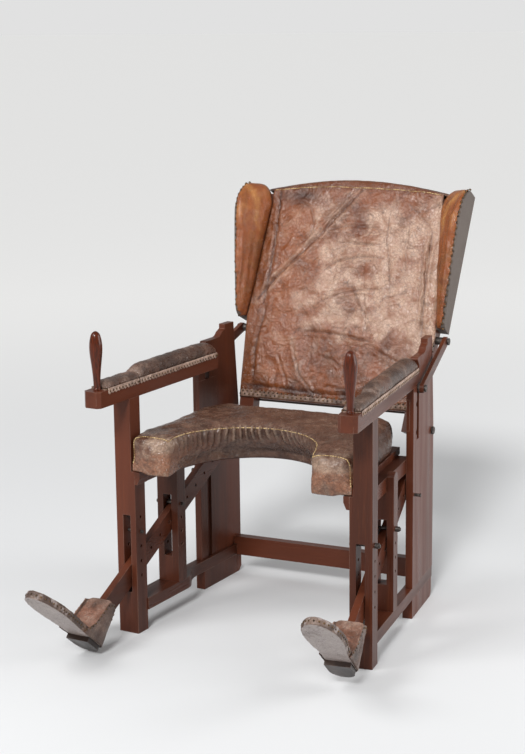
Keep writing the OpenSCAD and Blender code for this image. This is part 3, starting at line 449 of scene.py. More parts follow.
@dataclass(frozen=True)
class AgedLeather:
    """Vegetable-tanned hide, cracked and scuffed; scuffing with painted highlight, warmth, and grime with
    painted shade are painted on its points.

    Its patterns' sizes are in millimetres, and their depth is in metres.
    """

    name: str
    base: str
    dark: str
    pale: str
    warm: str
    crack: str = "#1e120d"
    crack_size: float = 8.333
    crack_share: float = 0.55
    gloss: float = 0.42
    mottle: float = 76.92
    crumple: float = 50.0
    crumple_depth: float = 0.003
    pore: float = 1.333
    fibre: float = 3.846

    def material(self) -> bpy.types.Material:
        """Leather: its dye is mottled, its grain crackled, its high places rubbed pale and given painted
        highlight, its folds' hollows darkened with painted shade.

        Pores and fibres are a few tenths of a millimetre wide. They are drawn coarser, so that they show in
        the render.

        Returns:
            The material.
        """
        bench = Bench(self.name)
        tree, place = bench.tree, bench.place
        mottle = add_node(tree, Kind.NOISE, clouds(place, self.mottle, 6.0, 0.62, 0.8)).outputs["Fac"]
        stains = add_node(tree, Kind.NOISE, clouds(place, self.mottle / 3.7, 5.0, 0.65, 0.4)).outputs["Fac"]
        fibre = add_node(tree, Kind.NOISE, clouds(place, self.fibre, 4.0, 0.7)).outputs["Fac"]
        folds = add_node(tree, Kind.NOISE, clouds(place, self.crumple, 8.0, 0.58, 1.7)).outputs["Fac"]
        swells = add_node(tree, Kind.NOISE, clouds(place, self.crumple, 3.5, 0.55, 0.5)).outputs["Fac"]
        pitted = {"Vector": place, "Scale": per_metre(self.pore)}
        pores = add_node(tree, Kind.CELLS, pitted).outputs["Distance"]
        dyed = add_node(tree, Kind.RANGE, span(stains, 0.3, 0.62, 0.35, 1.0), **SMOOTH).outputs[0]
        thinned = add_node(tree, Kind.RANGE, span(stains, 0.35, 0.62, 0.45, 0.85), **SMOOTH).outputs[0]
        nap = add_node(tree, Kind.RANGE, span(fibre, 0.35, 0.7, 0.0, 0.12), **SMOOTH).outputs[0]
        rubbed = add_node(tree, Kind.MATH, {0: thinned, 1: nap}, operation="ADD", **CLAMPED).outputs[0]
        scuff_and_highlight = bench.worn("wear", rubbed)
        bare = add_node(tree, Kind.RANGE, span(scuff_and_highlight, 0.0, 0.5, 0.12, 0.6), **SMOOTH).outputs[0]
        # The fold pattern only colours: pale on its ridges where scuffed (wear and painted highlight), dark
        # in its hollows (painted shade).
        ridge = add_node(tree, Kind.RANGE, span(folds, 0.52, 0.68), **SMOOTH).outputs[0]
        deep = add_node(tree, Kind.RANGE, span(folds, 0.44, 0.33, 0.0, 0.4), **SMOOTH).outputs[0]
        dry = add_node(tree, Kind.RANGE, span(stains, 0.4, 0.62, 0.15, 1.0), **SMOOTH).outputs[0]
        net = bench.cracks(self.crack_size, 0.012, 0.09)
        fine = bench.cracks(self.crack_size / 3.1, 0.004, 0.12)
        lit = add_node(tree, Kind.MATH, {0: ridge, 1: bare}, operation="MULTIPLY", **CLAMPED).outputs[0]
        torn = add_node(tree, Kind.MATH, {0: net, 1: dry}, operation="MULTIPLY", **CLAMPED).outputs[0]
        open_share, fine_share = (
            add_node(tree, Kind.MATH, {0: crack, 1: share}, operation="MULTIPLY", **CLAMPED).outputs[0]
            for crack, share in ((torn, self.crack_share), (fine, self.crack_share * 0.35))
        )
        colour = bench.laid_over(self.base, self.dark, span(mottle, 0.42, 0.7, 0.0, 0.6))
        # The painted grime value holds real grime and, on the back, painted shade along the creases.
        dirt_and_shade = add_node(tree, Kind.PAINTED, attribute_name="dirt_and_shade").outputs["Fac"]
        for share, tint in (
            (bench.worn("warm", dyed), self.warm),
            (scuff_and_highlight, self.pale),
            (lit, self.pale),
            (deep, self.dark),
            (dirt_and_shade, self.dark),
            (open_share, self.crack),
            (fine_share, self.dark),
        ):
            colour = add_node(tree, Kind.MIX, {0: share, UNDER: colour, OVER: tint}, **TINTS).outputs[MIXED]
        shine = span(stains, 0.3, 0.7, self.gloss - 0.06, self.gloss + 0.16)
        sound, smooth = (
            add_node(tree, Kind.MATH, {0: 1.0, 1: crack}, operation="SUBTRACT", **CLAMPED).outputs[0]
            for crack in (net, fine)
        )
        normal = bench.relief(
            (pores, 0.0003, 0.35),
            (sound, 0.0007, 0.6),
            (smooth, 0.0003, 0.5),
            (swells, self.crumple_depth, 1.0),
        )
        rough = add_node(tree, Kind.RANGE, shine, **SMOOTH).outputs[0]
        return bench.close({"Base Color": colour, "Roughness": rough, "Normal": normal})


@dataclass(frozen=True)
class CoarseCloth:
    """Coarse linen glued over board, greyed with dust."""

    name: str = "greyed backing cloth"
    light: str = "#8f8781"
    dark: str = "#5d534d"
    thread: float = 1.9635

    def material(self) -> bpy.types.Material:
        """Plain-woven linen: matt and grey under its dust.

        Its threads lie about 1 mm apart. They are drawn twice as far apart, so that they show in the render.

        Returns:
            The material.
        """
        bench = Bench(self.name)
        tree, place = bench.tree, bench.place
        # The bands take 20 radians of their wave to each unit of their scale.
        bands = {"Vector": place, "Scale": math.tau / 20.0 * per_metre(self.thread), "Distortion": 1.2}
        weft = add_node(tree, Kind.BANDS, bands, bands_direction="Z").outputs["Fac"]
        warp = add_node(tree, Kind.BANDS, bands, bands_direction="Y").outputs["Fac"]
        weave = add_node(tree, Kind.MATH, {0: weft, 1: warp}, operation="MULTIPLY", **CLAMPED).outputs[0]
        dust = add_node(tree, Kind.NOISE, clouds(place, 58.82, 6.0, 0.65)).outputs["Fac"]
        stains = add_node(tree, Kind.NOISE, clouds(place, 8.333, 4.0, 0.7)).outputs["Fac"]
        colour = bench.laid_over(self.light, self.dark, span(dust, 0.3, 0.7))
        colour = bench.laid_over(self.dark, colour, span(weave, 0.2, 0.8, 0.0, 0.35))
        colour = bench.laid_over(colour, self.dark, span(stains, 0.58, 0.7, 0.0, 0.6))
        return bench.close(
            {"Base Color": colour, "Roughness": 0.9, "Normal": bench.relief((weave, 0.0004, 0.7))}
        )


@dataclass(frozen=True)
class AgedMetal:
    """Old metal whose bare parts shine through rust or tarnish."""

    name: str
    bare: str
    crust: str
    gloss: float = 0.4

    def material(self) -> bpy.types.Material:
        """Forged iron or old brass: dull and rough under a patchy crust, bright where that is rubbed off.

        Returns:
            The material.
        """
        bench = Bench(self.name)
        tree = bench.tree
        spots = add_node(tree, Kind.NOISE, clouds(bench.place, 6.25, 5.0, 0.7)).outputs["Fac"]
        rough = add_node(tree, Kind.RANGE, span(spots, 0.4, 0.62, self.gloss, 0.8), **SMOOTH).outputs[0]
        metallic = add_node(tree, Kind.RANGE, span(spots, 0.42, 0.6, 0.9, 0.3), **SMOOTH).outputs[0]
        return bench.close(
            {
                "Base Color": bench.laid_over(self.bare, self.crust, span(spots, 0.42, 0.6)),
                "Roughness": rough,
                "Metallic": metallic,
                "Normal": bench.relief((spots, 0.0004, 0.6)),
            }
        )


@dataclass(frozen=True)
class LinenThread:
    """Waxed sewing thread, soiled in places."""

    name: str = "waxed linen thread"
    clean: str = "#d9bd88"
    soiled: str = "#86683f"

    def material(self) -> bpy.types.Material:
        """Twisted linen thread: pale and waxy, with a twist every two thirds of a millimetre.

        Returns:
            The material.
        """
        bench = Bench(self.name)
        tree, place = bench.tree, bench.place
        soil = add_node(tree, Kind.NOISE, clouds(place, 14.29, 5.0, 0.7)).outputs["Fac"]
        twist = add_node(tree, Kind.NOISE, clouds(place, 0.6667, 2.0)).outputs["Fac"]
        colour = bench.laid_over(self.clean, self.soiled, span(soil, 0.4, 0.6))
        return bench.close(
            {"Base Color": colour, "Roughness": 0.75, "Normal": bench.relief((twist, 0.0002, 0.6))}
        )


@dataclass(frozen=True)
class StudioFloor:
    """Matt white studio paper."""

    name: str = "studio paper"
    near: str = "#d8d9da"
    far: str = "#fcfcfb"

    def material(self) -> bpy.types.Material:
        """Unmarked paper, painted paler towards the far end of the studio as painted light that evens out the
        lamps' fall-off.

        Returns:
            The material.
        """
        bench = Bench(self.name)
        away = add_node(bench.tree, Kind.VECTOR, {0: bench.place}, operation="LENGTH").outputs["Value"]
        # Painted light: paler with distance, so that the floor reads evenly lit.
        colour = bench.laid_over(self.near, self.far, span(away, 0.8, 5.5))
        return bench.close({"Base Color": colour, "Roughness": 0.85})


@dataclass
class Finishes:
    """The chair's finishes, each made once."""

    upright: bpy.types.Material = field(init=False)
    along: bpy.types.Material = field(init=False)
    across: bpy.types.Material = field(init=False)
    grip: bpy.types.Material = field(init=False)
    back: bpy.types.Material = field(init=False)
    wing: bpy.types.Material = field(init=False)
    seat: bpy.types.Material = field(init=False)
    arm: bpy.types.Material = field(init=False)
    cup: bpy.types.Material = field(init=False)
    sole: bpy.types.Material = field(init=False)
    edging: bpy.types.Material = field(init=False)
    block: bpy.types.Material = field(init=False)
    cloth: bpy.types.Material = field(init=False)
    iron: bpy.types.Material = field(init=False)
    nail: bpy.types.Material = field(init=False)
    thread: bpy.types.Material = field(init=False)

    def __post_init__(self) -> None:
        """Makes each material."""
        self.upright = PaintedWood("red-brown paint, upright grain", Grain.UPRIGHT).material()
        self.along = PaintedWood("red-brown paint, grain front to rear", Grain.ALONG).material()
        self.across = PaintedWood("red-brown paint, grain side to side", Grain.ACROSS).material()
        self.grip = PolishedWood().material()
        # Back: chestnut hide with a pinkish bloom where sitters rubbed it.
        self.back = AgedLeather(
            "mottled back leather", "#7d472b", "#3f2013", "#bd9d88", "#8a4a1c", gloss=0.21,
            crumple=52.63, crumple_depth=0.013,
        ).material()
        # Wings: the same hide, kept orange and shiny.
        self.wing = AgedLeather(
            "orange wing leather", "#7e3f1c", "#4e2412", "#bb8448", "#934a19", crack_share=0.25, gloss=0.15,
            crumple=76.92, crumple_depth=0.002,
        ).material()
        # Seat: dark and polished by use, rubbed pale at the front ends, with painted highlights there and on
        # the gathers.
        self.seat = AgedLeather(
            "dark seat leather", "#523022", "#2b1811", "#a68c78", "#8a4a26", crack_size=9.091, gloss=0.14,
            mottle=45.45, crumple=29.41, crumple_depth=0.005,
        ).material()
        # Arm pads: dry grey-brown hide.
        self.arm = AgedLeather(
            "dry arm leather", "#472f24", "#281a13", "#877063", "#6e402b", crack_size=6.667, gloss=0.27,
            mottle=35.71, crumple=23.81, crumple_depth=0.003,
        ).material()
        # Heel cups: thick, layered harness leather.
        self.cup = AgedLeather(
            "heel cup leather", "#604334", "#312017", "#a68e7f", "#7c3d1e", crack_size=7.143, gloss=0.34,
            crumple=25.0, crumple_depth=0.002,
        ).material()
        # Soles: pale, dry hide on the foot plates.
        self.sole = AgedLeather(
            "pale sole leather", "#887a71", "#4f3c33", "#b6aba8", "#85614a", crack_size=7.692, gloss=0.45,
            crumple=71.43, crumple_depth=0.0008,
        ).material()
        # Edging: thin leather strip, pinked in scallops and bleached by handling.
        self.edging = AgedLeather(
            "scalloped leather edging", "#836453", "#432d22", "#cfb4a4", "#92653f", gloss=0.45,
            crumple=16.67, crumple_depth=0.002,
        ).material()
        # Heel blocks: stacked leather and wood, black with grime.
        self.block = PaintedWood(
            "dark heel block", Grain.ALONG, "#35261f", "#211713", "#45332a", "#7d6a5f"
        ).material()
        self.cloth = CoarseCloth().material()
        # Pins, pegs and studs: hand-forged iron.
        self.iron = AgedMetal("forged iron", "#5a5450", "#2b211d").material()
        # Upholstery nails: domed heads, brown with age.
        self.nail = AgedMetal("old nail heads", "#6b5236", "#2a1f19", 0.35).material()
        self.thread = LinenThread().material()


# Mesh tools


def settle(
    bm: bmesh.types.BMesh, name: str, finish: bpy.types.Material, body: str
) -> bpy.types.Object:
    """Turns a bmesh into a piece of the chair that rides on a body.

    Args:
        bm: The mesh, with its place in its points. It is freed.
        name: The piece's name.
        finish: Its material.
        body: The CAD body that carries it.

    Returns:
        The piece.
    """
    mesh = bpy.data.meshes.new(name)
    for face in bm.faces:
        face.smooth = True
    bm.to_mesh(mesh)
    bm.free()
    piece = bpy.data.objects.new(name, mesh)
    bpy.context.scene.collection.objects.link(piece)
    mesh.materials.append(finish)
    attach(piece, body)
    LOG.info("%s: %d faces", name, len(mesh.polygons))
    return piece


def facing(out: Vector) -> Matrix:
    """Turn that takes +Z to a direction."""
    return out.to_track_quat("Z", "Y").to_matrix().to_4x4()


def add_nail(bm: bmesh.types.BMesh, at: Vector, out: Vector, radius: float) -> None:
    """Adds one domed nail head, sunk a little into the leather.

    Args:
        bm: The mesh it joins.
        at: Where it sits on the surface.
        out: The way the surface faces.
        radius: Its radius.
    """
    squat = Matrix.Diagonal((radius, radius, radius * 0.62, 1.0))
    bmesh.ops.create_uvsphere(
        bm, u_segments=8, v_segments=6, radius=1.0, matrix=Matrix.Translation(at) @ facing(out) @ squat
    )


def add_stitch(bm: bmesh.types.BMesh, at: Vector, way: Vector, length: float, radius: float) -> None:
    """Adds one stitch of thread that lies along a seam.

    Args:
        bm: The mesh it joins.
        at: Its middle.
        way: Direction of the seam.
        length: Its length.
        radius: The thread's radius.
    """
    slim = Matrix.Diagonal((radius, radius, length / 2, 1.0))
    bmesh.ops.create_uvsphere(
        bm, u_segments=6, v_segments=5, radius=1.0, matrix=Matrix.Translation(at) @ facing(way) @ slim
    )


def smooth(bm: bmesh.types.BMesh, verts: list[bmesh.types.BMVert]) -> None:
    """Smooths some points of a mesh once."""
    bmesh.ops.smooth_vert(bm, verts=verts, factor=0.5, use_axis_x=True, use_axis_y=True, use_axis_z=True)


def lengths_along(points: Sequence[Vector]) -> list[float]:
    """How far along a line each of its points lies.

    Args:
        points: The line's points.

    Returns:
        One length a point, from 0 at the first.
    """
    lengths = [0.0]
    for a, b in zip(points, points[1:]):
        lengths.append(lengths[-1] + (b - a).length)
    return lengths


def along(points: Sequence[Vector], step: float) -> list[tuple[Vector, Vector]]:
    """Walks a line of points in even steps.

    Args:
        points: The line's points.
        step: About how far apart the steps are.

    Returns:
        Each step's place and the line's direction there.
    """
    lengths = lengths_along(points)
    count = max(1, round(lengths[-1] / step))
    found, k = [], 0
    for i in range(count + 1):
        want = lengths[-1] * i / count
        while k < len(points) - 2 and lengths[k + 1] < want:
            k += 1
        gap = max(1e-9, lengths[k + 1] - lengths[k])
        place = points[k].lerp(points[k + 1], (want - lengths[k]) / gap)
        found.append((place, (points[k + 1] - points[k]).normalized()))
    return found


def skin_of(piece: bpy.types.Object) -> BVHTree:
    """Search tree over a piece's surface, in the chair's frame."""
    mesh = piece.data
    return BVHTree.FromPolygons([v.co for v in mesh.vertices], [p.vertices[:] for p in mesh.polygons])


def pull_to(tree: BVHTree, points: Sequence[Vector]) -> list[tuple[Vector, Vector]]:
    """Nearest place on a surface, and the way it faces there, for each point."""
    found = [tree.find_nearest(p) for p in points]
    return [(hit[0], hit[1]) for hit in found]


@dataclass(frozen=True)
class Row:
    """A row of nails or stitches on leather: how far apart, how thick, how far off it and how long."""

    step: float
    radius: float
    lift: float
    length: float = 0.0

    def drive(self, bm: bmesh.types.BMesh, tree: BVHTree, line: Sequence[Vector]) -> None:
        """Drives nails along a line, on a surface.

        Args:
            bm: The mesh of nails.
            tree: The surface.
            line: The line's points.
        """
        for at, out in pull_to(tree, [place for place, _ in along(line, self.step)]):
            add_nail(bm, at + out * self.lift, out, self.radius)

    def sew(self, bm: bmesh.types.BMesh, tree: BVHTree, line: Sequence[Vector]) -> None:
        """Sews stitches along a line, on a surface.

        Args:
            bm: The mesh of stitches.
            tree: The surface.
            line: The line's points.
        """
        steps = along(line, self.step)
        for (at, out), (_, way) in zip(pull_to(tree, [place for place, _ in steps]), steps):
            add_stitch(bm, at + out * self.lift, way, self.length, self.radius)


def seen_in(inner: Matrix, points: np.ndarray) -> np.ndarray:
    """Points as they lie in another frame, given the matrix that leads into it."""
    return (np.c_[points, np.ones(len(points))] @ np.array(inner).T)[:, :3]


def cloudy(points: np.ndarray, scale: float, octaves: int = 3, shift: float = 0.0) -> np.ndarray:
    """Cloudy noise from about -1 to 1 at each point.

    Args:
        points: The points, one row each.
        scale: Patches a metre.
        octaves: How many layers of ever finer noise.
        shift: Moves the pattern, so that two can differ.

    Returns:
        One value a point.
    """
    moved = points * scale + shift
    return np.array([noise.fractal(Vector(p), 1.0, 2.0, octaves) for p in moved])


def soft(value: np.ndarray, a: float, b: float) -> np.ndarray:
    """0 before a, 1 past b, smooth between; a may be above b."""
    f = np.clip((value - a) / (b - a), 0.0, 1.0)
    return f * f * (3.0 - 2.0 * f)


def distance_to(line: Line, u: np.ndarray, v: np.ndarray) -> tuple[np.ndarray, np.ndarray]:
    """Distance of flat points from a broken line.

    Args:
        line: The line's corners.
        u: First coordinate of each point.
        v: Second coordinate of each point.

    Returns:
        Distance of each point, and how far along the line its nearest place is, from 0 to 1.
    """
    best = np.full(u.shape, 1e9)
    share = np.zeros(u.shape)
    corners = np.array(line, float)
    steps = np.hypot(*(corners[1:] - corners[:-1]).T)
    total, done = steps.sum(), 0.0
    for (a, b), step in zip(zip(corners, corners[1:]), steps):
        f = np.clip(((u - a[0]) * (b[0] - a[0]) + (v - a[1]) * (b[1] - a[1])) / step**2, 0.0, 1.0)
        gap = np.hypot(u - a[0] - f * (b[0] - a[0]), v - a[1] - f * (b[1] - a[1]))
        nearer = gap < best
        best = np.where(nearer, gap, best)
        share = np.where(nearer, (done + f * step) / total, share)
        done += step
    return best, share


@dataclass
class Hide:
    """Points of a leather piece, for moving and painting them all at once."""

    piece: bpy.types.Object

    def points(self) -> np.ndarray:
        """The points, one row each."""
        found = np.empty(len(self.piece.data.vertices) * 3)
        self.piece.data.vertices.foreach_get("co", found)
        return found.reshape(-1, 3)

    def normals(self) -> np.ndarray:
        """The way each point faces."""
        found = np.empty(len(self.piece.data.vertices) * 3)
        self.piece.data.vertices.foreach_get("normal", found)
        return found.reshape(-1, 3)

    def move(self, points: np.ndarray) -> None:
        """Puts the points in new places."""
        self.piece.data.vertices.foreach_set("co", points.astype(np.float32).ravel())
        self.piece.data.update()

    def raise_by(self, height: np.ndarray) -> None:
        """Moves each point out along its normal."""
        self.move(self.points() + self.normals() * height[:, None])

    def paint(self, name: str, values: np.ndarray) -> None:
        """Paints a value from 0 to 1 on each point."""
        layer = self.piece.data.attributes.new(name, "FLOAT", "POINT")
        layer.data.foreach_set("value", np.clip(values, 0.0, 1.0).astype(np.float32))


@dataclass
class Camera:
    """The camera, at the height and turn from which the chair was taken."""

    place: Point = (1.6596, -3.6490, 1.4744)
    yaw: float = 24.90
    pitch: float = -11.96
    roll: float = -0.65
    lens: float = 80.76

    def build(self) -> bpy.types.Object:
        """Makes the scene's camera.

        Returns:
            The camera's object.
        """
        yaw, pitch, roll = (math.radians(a) for a in (self.yaw, self.pitch, self.roll))
        ahead = Vector((-math.sin(yaw) * math.cos(pitch), math.cos(yaw) * math.cos(pitch), math.sin(pitch)))
        right = ahead.cross(Vector((0, 0, 1))).normalized()
        up = right.cross(ahead)
        right, up = (
            right * math.cos(roll) + up * math.sin(roll),
            up * math.cos(roll) - right * math.sin(roll),
        )
        data = bpy.data.cameras.new("camera")
        data.lens = self.lens
        data.sensor_width = 36.0
        camera = bpy.data.objects.new("camera", data)
        turn = Matrix((right, up, -ahead)).transposed().to_4x4()
        camera.matrix_world = Matrix.Translation(self.place) @ turn
        bpy.context.scene.collection.objects.link(camera)
        bpy.context.scene.camera = camera
        return camera


@dataclass
class Studio:
    """Pale paper without an end, a broad key from the front and a soft lamp on either side."""

    floor_half: float = 160.0
    sky: str = "#e1e1e1"
    fill: float = 0.45
    mirrored: float = 0.55
    sun: float = 2.4
    sun_from: Point = (0.64, -3.8, 3.44)
    sun_angle: float = 13.0
    aim: Point = (0.0, 0.0, 0.5)
    softboxes: tuple[tuple[str, Point, float, float], ...] = (
        ("left softbox", (-1.2, -1.8, 2.45), 43.0, 1.25),
        ("right softbox", (3.0, 1.0, 1.5), 62.0, 2.0),
    )

    def link(self, data: bpy.types.Light, place: Point) -> None:
        """Hangs a lamp that looks at the seat.

        Args:
            data: The lamp.
            place: Where it hangs.
        """
        lamp = bpy.data.objects.new(data.name, data)
        lamp.location = place
        lamp.rotation_euler = (Vector(self.aim) - Vector(place)).to_track_quat("-Z", "Y").to_euler()
        bpy.context.scene.collection.objects.link(lamp)

    def softbox(self, name: str, place: Point, watts: float, size: float) -> None:
        """Adds one square soft lamp.

        Args:
            name: The lamp's name.
            place: Where it hangs.
            watts: Its power.
            size: Its side.
        """
        data = bpy.data.lights.new(name, "AREA")
        data.energy = watts
        data.size = size
        self.link(data, place)

    def surroundings(self) -> None:
        """Pale surroundings: full to the eye, about half as strong as a light and in reflections."""
        world = bpy.data.worlds.new("studio")
        world.use_nodes = True
        tree = world.node_tree
        tree.nodes.clear()
        path = add_node(tree, Kind.RAYS)
        dimmed = span(path.outputs["Is Glossy Ray"], 0.0, 1.0, self.fill, self.mirrored)
        shine = add_node(tree, Kind.RANGE, dimmed).outputs[0]
        seen = {0: path.outputs["Is Camera Ray"], 2: shine, 3: 1.0}
        strength = add_node(tree, Kind.MIX, seen).outputs[0]
        sky = add_node(tree, Kind.SKY, {"Color": self.sky, "Strength": strength}).outputs[0]
        add_node(tree, Kind.WORLD, {"Surface": sky})
        bpy.context.scene.world = world

    def build(self) -> None:
        """Lays the floor and hangs the lamps."""
        bm = bmesh.new()
        bmesh.ops.create_grid(bm, x_segments=1, y_segments=1, size=self.floor_half)
        mesh = bpy.data.meshes.new("floor")
        bm.to_mesh(mesh)
        bm.free()
        mesh.materials.append(StudioFloor().material())
        floor = bpy.data.objects.new("floor", mesh)
        bpy.context.scene.collection.objects.link(floor)
        self.surroundings()
        key = bpy.data.lights.new("key", "SUN")
        key.energy = self.sun
        key.angle = math.radians(self.sun_angle)
        self.link(key, self.sun_from)
        for lamp in self.softboxes:
            self.softbox(*lamp)
        bpy.context.scene.view_settings.view_transform = "Standard"
        LOG.info("studio: floor, surroundings, key and two softboxes")


# Wood and iron


@dataclass
class Frame:
    """The chair's CAD nodes that stay in view, each with its finish."""

    finishes: Finishes
    upright: tuple[str, ...] = (
        "front_leg", "middle_post", "rear_post", "rear_board", "rear_foot", "back_stile", "filler", "slot",
    )
    across: tuple[str, ...] = ("cross_stretcher", "seat_board", "crest_rail", "back_foot_rail")
    metal: tuple[str, ...] = ("rear_stud", "back_pivot", "stay_pin", "stay_peg", "front_peg", "middle_peg")
    cloth: tuple[str, ...] = ("back_panel", "wing_board")

    def finish_for(self, node: str) -> bpy.types.Material:
        """Chooses a node's finish by its name.

        Args:
            node: The CAD node's name.

        Returns:
            The material.
        """
        if node.startswith(self.metal):
            return self.finishes.iron
        if node.startswith("heel_block"):
            return self.finishes.block
        if node.startswith(self.cloth):
            return self.finishes.cloth
        if node.startswith(self.upright):
            return self.finishes.upright
        if node.startswith(self.across):
            return self.finishes.across
        return self.finishes.along

    def build(self) -> None:
        """Gives every CAD node a finish; the leather ones are replaced later."""
        for name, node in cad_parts.items():
            finish = self.finish_for(name)
            if not node.material_slots:
                node.data.materials.append(finish)
            for place in node.material_slots:
                place.material = finish
        LOG.info("frame: %d nodes finished", len(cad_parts))


@dataclass
class HandGrip:
    """A turned grip on the front of an arm."""

    side: Side
    finishes: Finishes
    height: float = 0.140
    belly: float = 0.0155
    neck: float = 0.008
    setback: float = 0.026
    round_from: float = 0.93
    steps: int = 56

    def radius(self, f: float) -> float:
        """Radius at share f of the height, to a round end."""
        body = self.neck + (self.belly - self.neck) * math.sin(math.pi * f**2.1)
        past = max(0.0, (f - self.round_from) / (1.0 - self.round_from))
        return body * math.sqrt(max(0.0, 1.0 - past**2))

    def build(self) -> bpy.types.Object:
        """Turns the grip from its outline.

        Returns:
            The grip.
        """
        bm = bmesh.new()
        outline = [(0.0, -0.001), (self.neck + 0.001, -0.001), (self.neck + 0.001, 0.004)]
        shares = [i / 40 for i in range(1, 38)] + [0.945, 0.96, 0.973, 0.984, 0.992, 0.998]
        outline += [(self.radius(f), self.height * f) for f in shares] + [(0.0, self.height)]
        verts = [bm.verts.new((r, 0.0, z)) for r, z in outline]
        edges = [bm.edges.new(pair) for pair in zip(verts, verts[1:])]
        bmesh.ops.spin(
            bm, geom=verts + edges, cent=(0, 0, 0), axis=(0, 0, 1), angle=math.tau, steps=self.steps,
            use_merge=True,
        )
        bmesh.ops.remove_doubles(bm, verts=bm.verts[:], dist=1e-6)
        bmesh.ops.recalc_face_normals(bm, faces=bm.faces[:])
        place = PLAN.side(self.side) @ Matrix.Translation(
            (PLAN.arm_w / 2, PLAN.arm_front + self.setback, PLAN.arm_top)
        )
        bmesh.ops.transform(bm, matrix=place, verts=bm.verts[:])
        if place.determinant() < 0:
            bmesh.ops.reverse_faces(bm, faces=bm.faces[:])
        piece = settle(bm, "grip_" + self.side.word, self.finishes.grip, "frame")
        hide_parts("arm_grip_" + self.side.word)
        return piece


# Stuffed leather


@dataclass(kw_only=True)
class StuffedLeather:
    """A leather piece over stuffing, grown from its CAD solid by blowing it up a little."""

    name: str
    node: str
    body: str
    slot: str
    finish: bpy.types.Material
    voxel: float = 0.005
    cap: float = 0.006
    pressure: float = 4.0
    tension: float = 25.0
    bending: float = 1.5
    frames: int = 20
    base: float = 0.004
    passes: int = 3
    fill: float = 0.7

    def copy_solid(self) -> bpy.types.Object:
        """Copies the CAD solid as one closed mesh.

        Returns:
            The piece, still with the solid's shape.
        """
        bm = bmesh.new()
        bm.from_mesh(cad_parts[self.node].data)
        bmesh.ops.remove_doubles(bm, verts=bm.verts[:], dist=2e-5)
        bmesh.ops.recalc_face_normals(bm, faces=bm.faces[:])
        piece = settle(bm, self.name, self.finish, self.body)
        flat_map = piece.data.attributes.get("UVMap")
        if flat_map is not None:
            piece.data.attributes.remove(flat_map)
        return piece

    def harden(self, piece: bpy.types.Object) -> None:
        """Applies the piece's modifiers to its mesh.

        Args:
            piece: The piece.
        """
        graph = bpy.context.evaluated_depsgraph_get()
        made = bpy.data.meshes.new_from_object(piece.evaluated_get(graph))
        piece.modifiers.clear()
        old, piece.data = piece.data, made
        bpy.data.meshes.remove(old)

    def remesh(self, piece: bpy.types.Object) -> None:
        """Gives the piece an even net of small faces.

        Args:
            piece: The piece.
        """
        change = piece.modifiers.new("even net", "REMESH")
        change.mode = "VOXEL"
        change.voxel_size = self.voxel
        change.use_smooth_shade = True
        self.harden(piece)

    def held(self, points: np.ndarray) -> np.ndarray:
        """Which points the frame holds still: the lowest few millimetres."""
        return points[:, 2] < points[:, 2].min() + self.base

    def stuff(self, piece: bpy.types.Object) -> None:
        """Fills the leather by a cloth simulation with pressure inside, no further than the cap.

        Args:
            piece: The piece.
        """
        hide = Hide(piece)
        before = hide.points()
        group = piece.vertex_groups.new(name="held")
        group.add([int(i) for i in np.flatnonzero(self.held(before))], 1.0, "REPLACE")
        cloth = piece.modifiers.new("stuffing", "CLOTH")
        cloth.settings.quality = 4
        cloth.settings.mass = 0.5
        cloth.settings.use_pressure = True
        cloth.settings.uniform_pressure_force = self.pressure
        cloth.settings.effector_weights.gravity = 0.0
        cloth.settings.vertex_group_mass = "held"
        cloth.settings.tension_stiffness = self.tension
        cloth.settings.bending_stiffness = self.bending
        scene = bpy.context.scene
        for number in range(1, self.frames + 1):
            scene.frame_set(number)
        graph = bpy.context.evaluated_depsgraph_get()
        blown = piece.evaluated_get(graph).to_mesh()
        after = np.empty(len(blown.vertices) * 3)
        blown.vertices.foreach_get("co", after)
        piece.evaluated_get(graph).to_mesh_clear()
        piece.modifiers.clear()
        piece.vertex_groups.clear()
        scene.frame_set(1)
        shift = after.reshape(-1, 3) - before
        length = np.linalg.norm(shift, axis=1)
        keep = np.minimum(1.0, self.cap / np.maximum(length, 1e-9))
        shift *= keep[:, None] * (~self.held(before))[:, None]
        hide.move(before + shift)

    def round_off(self, piece: bpy.types.Object) -> None:
        """Smooths the net and halves its faces.

        Args:
            piece: The piece.
        """
        bm = bmesh.new()
        bm.from_mesh(piece.data)
        for _ in range(self.passes):
            smooth(bm, bm.verts[:])
        bm.to_mesh(piece.data)
        bm.free()
        finer = piece.modifiers.new("finer net", "SUBSURF")
        finer.levels = finer.render_levels = 1
        self.harden(piece)

    def sculpt(self, piece: bpy.types.Object) -> None:
        """Shapes and paints the leather; each kind of piece has its own way."""
        raise NotImplementedError

    def build(self) -> bpy.types.Object:
        """Makes the piece.

        Returns:
            The piece.
        """
        piece = self.copy_solid()
        self.remesh(piece)
        self.stuff(piece)
        self.round_off(piece)
        self.sculpt(piece)
        for face in piece.data.polygons:
            face.use_smooth = True
        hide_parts(self.node)
        LOG.info("%s: stuffed, %d faces", self.name, len(piece.data.polygons))
        return piece


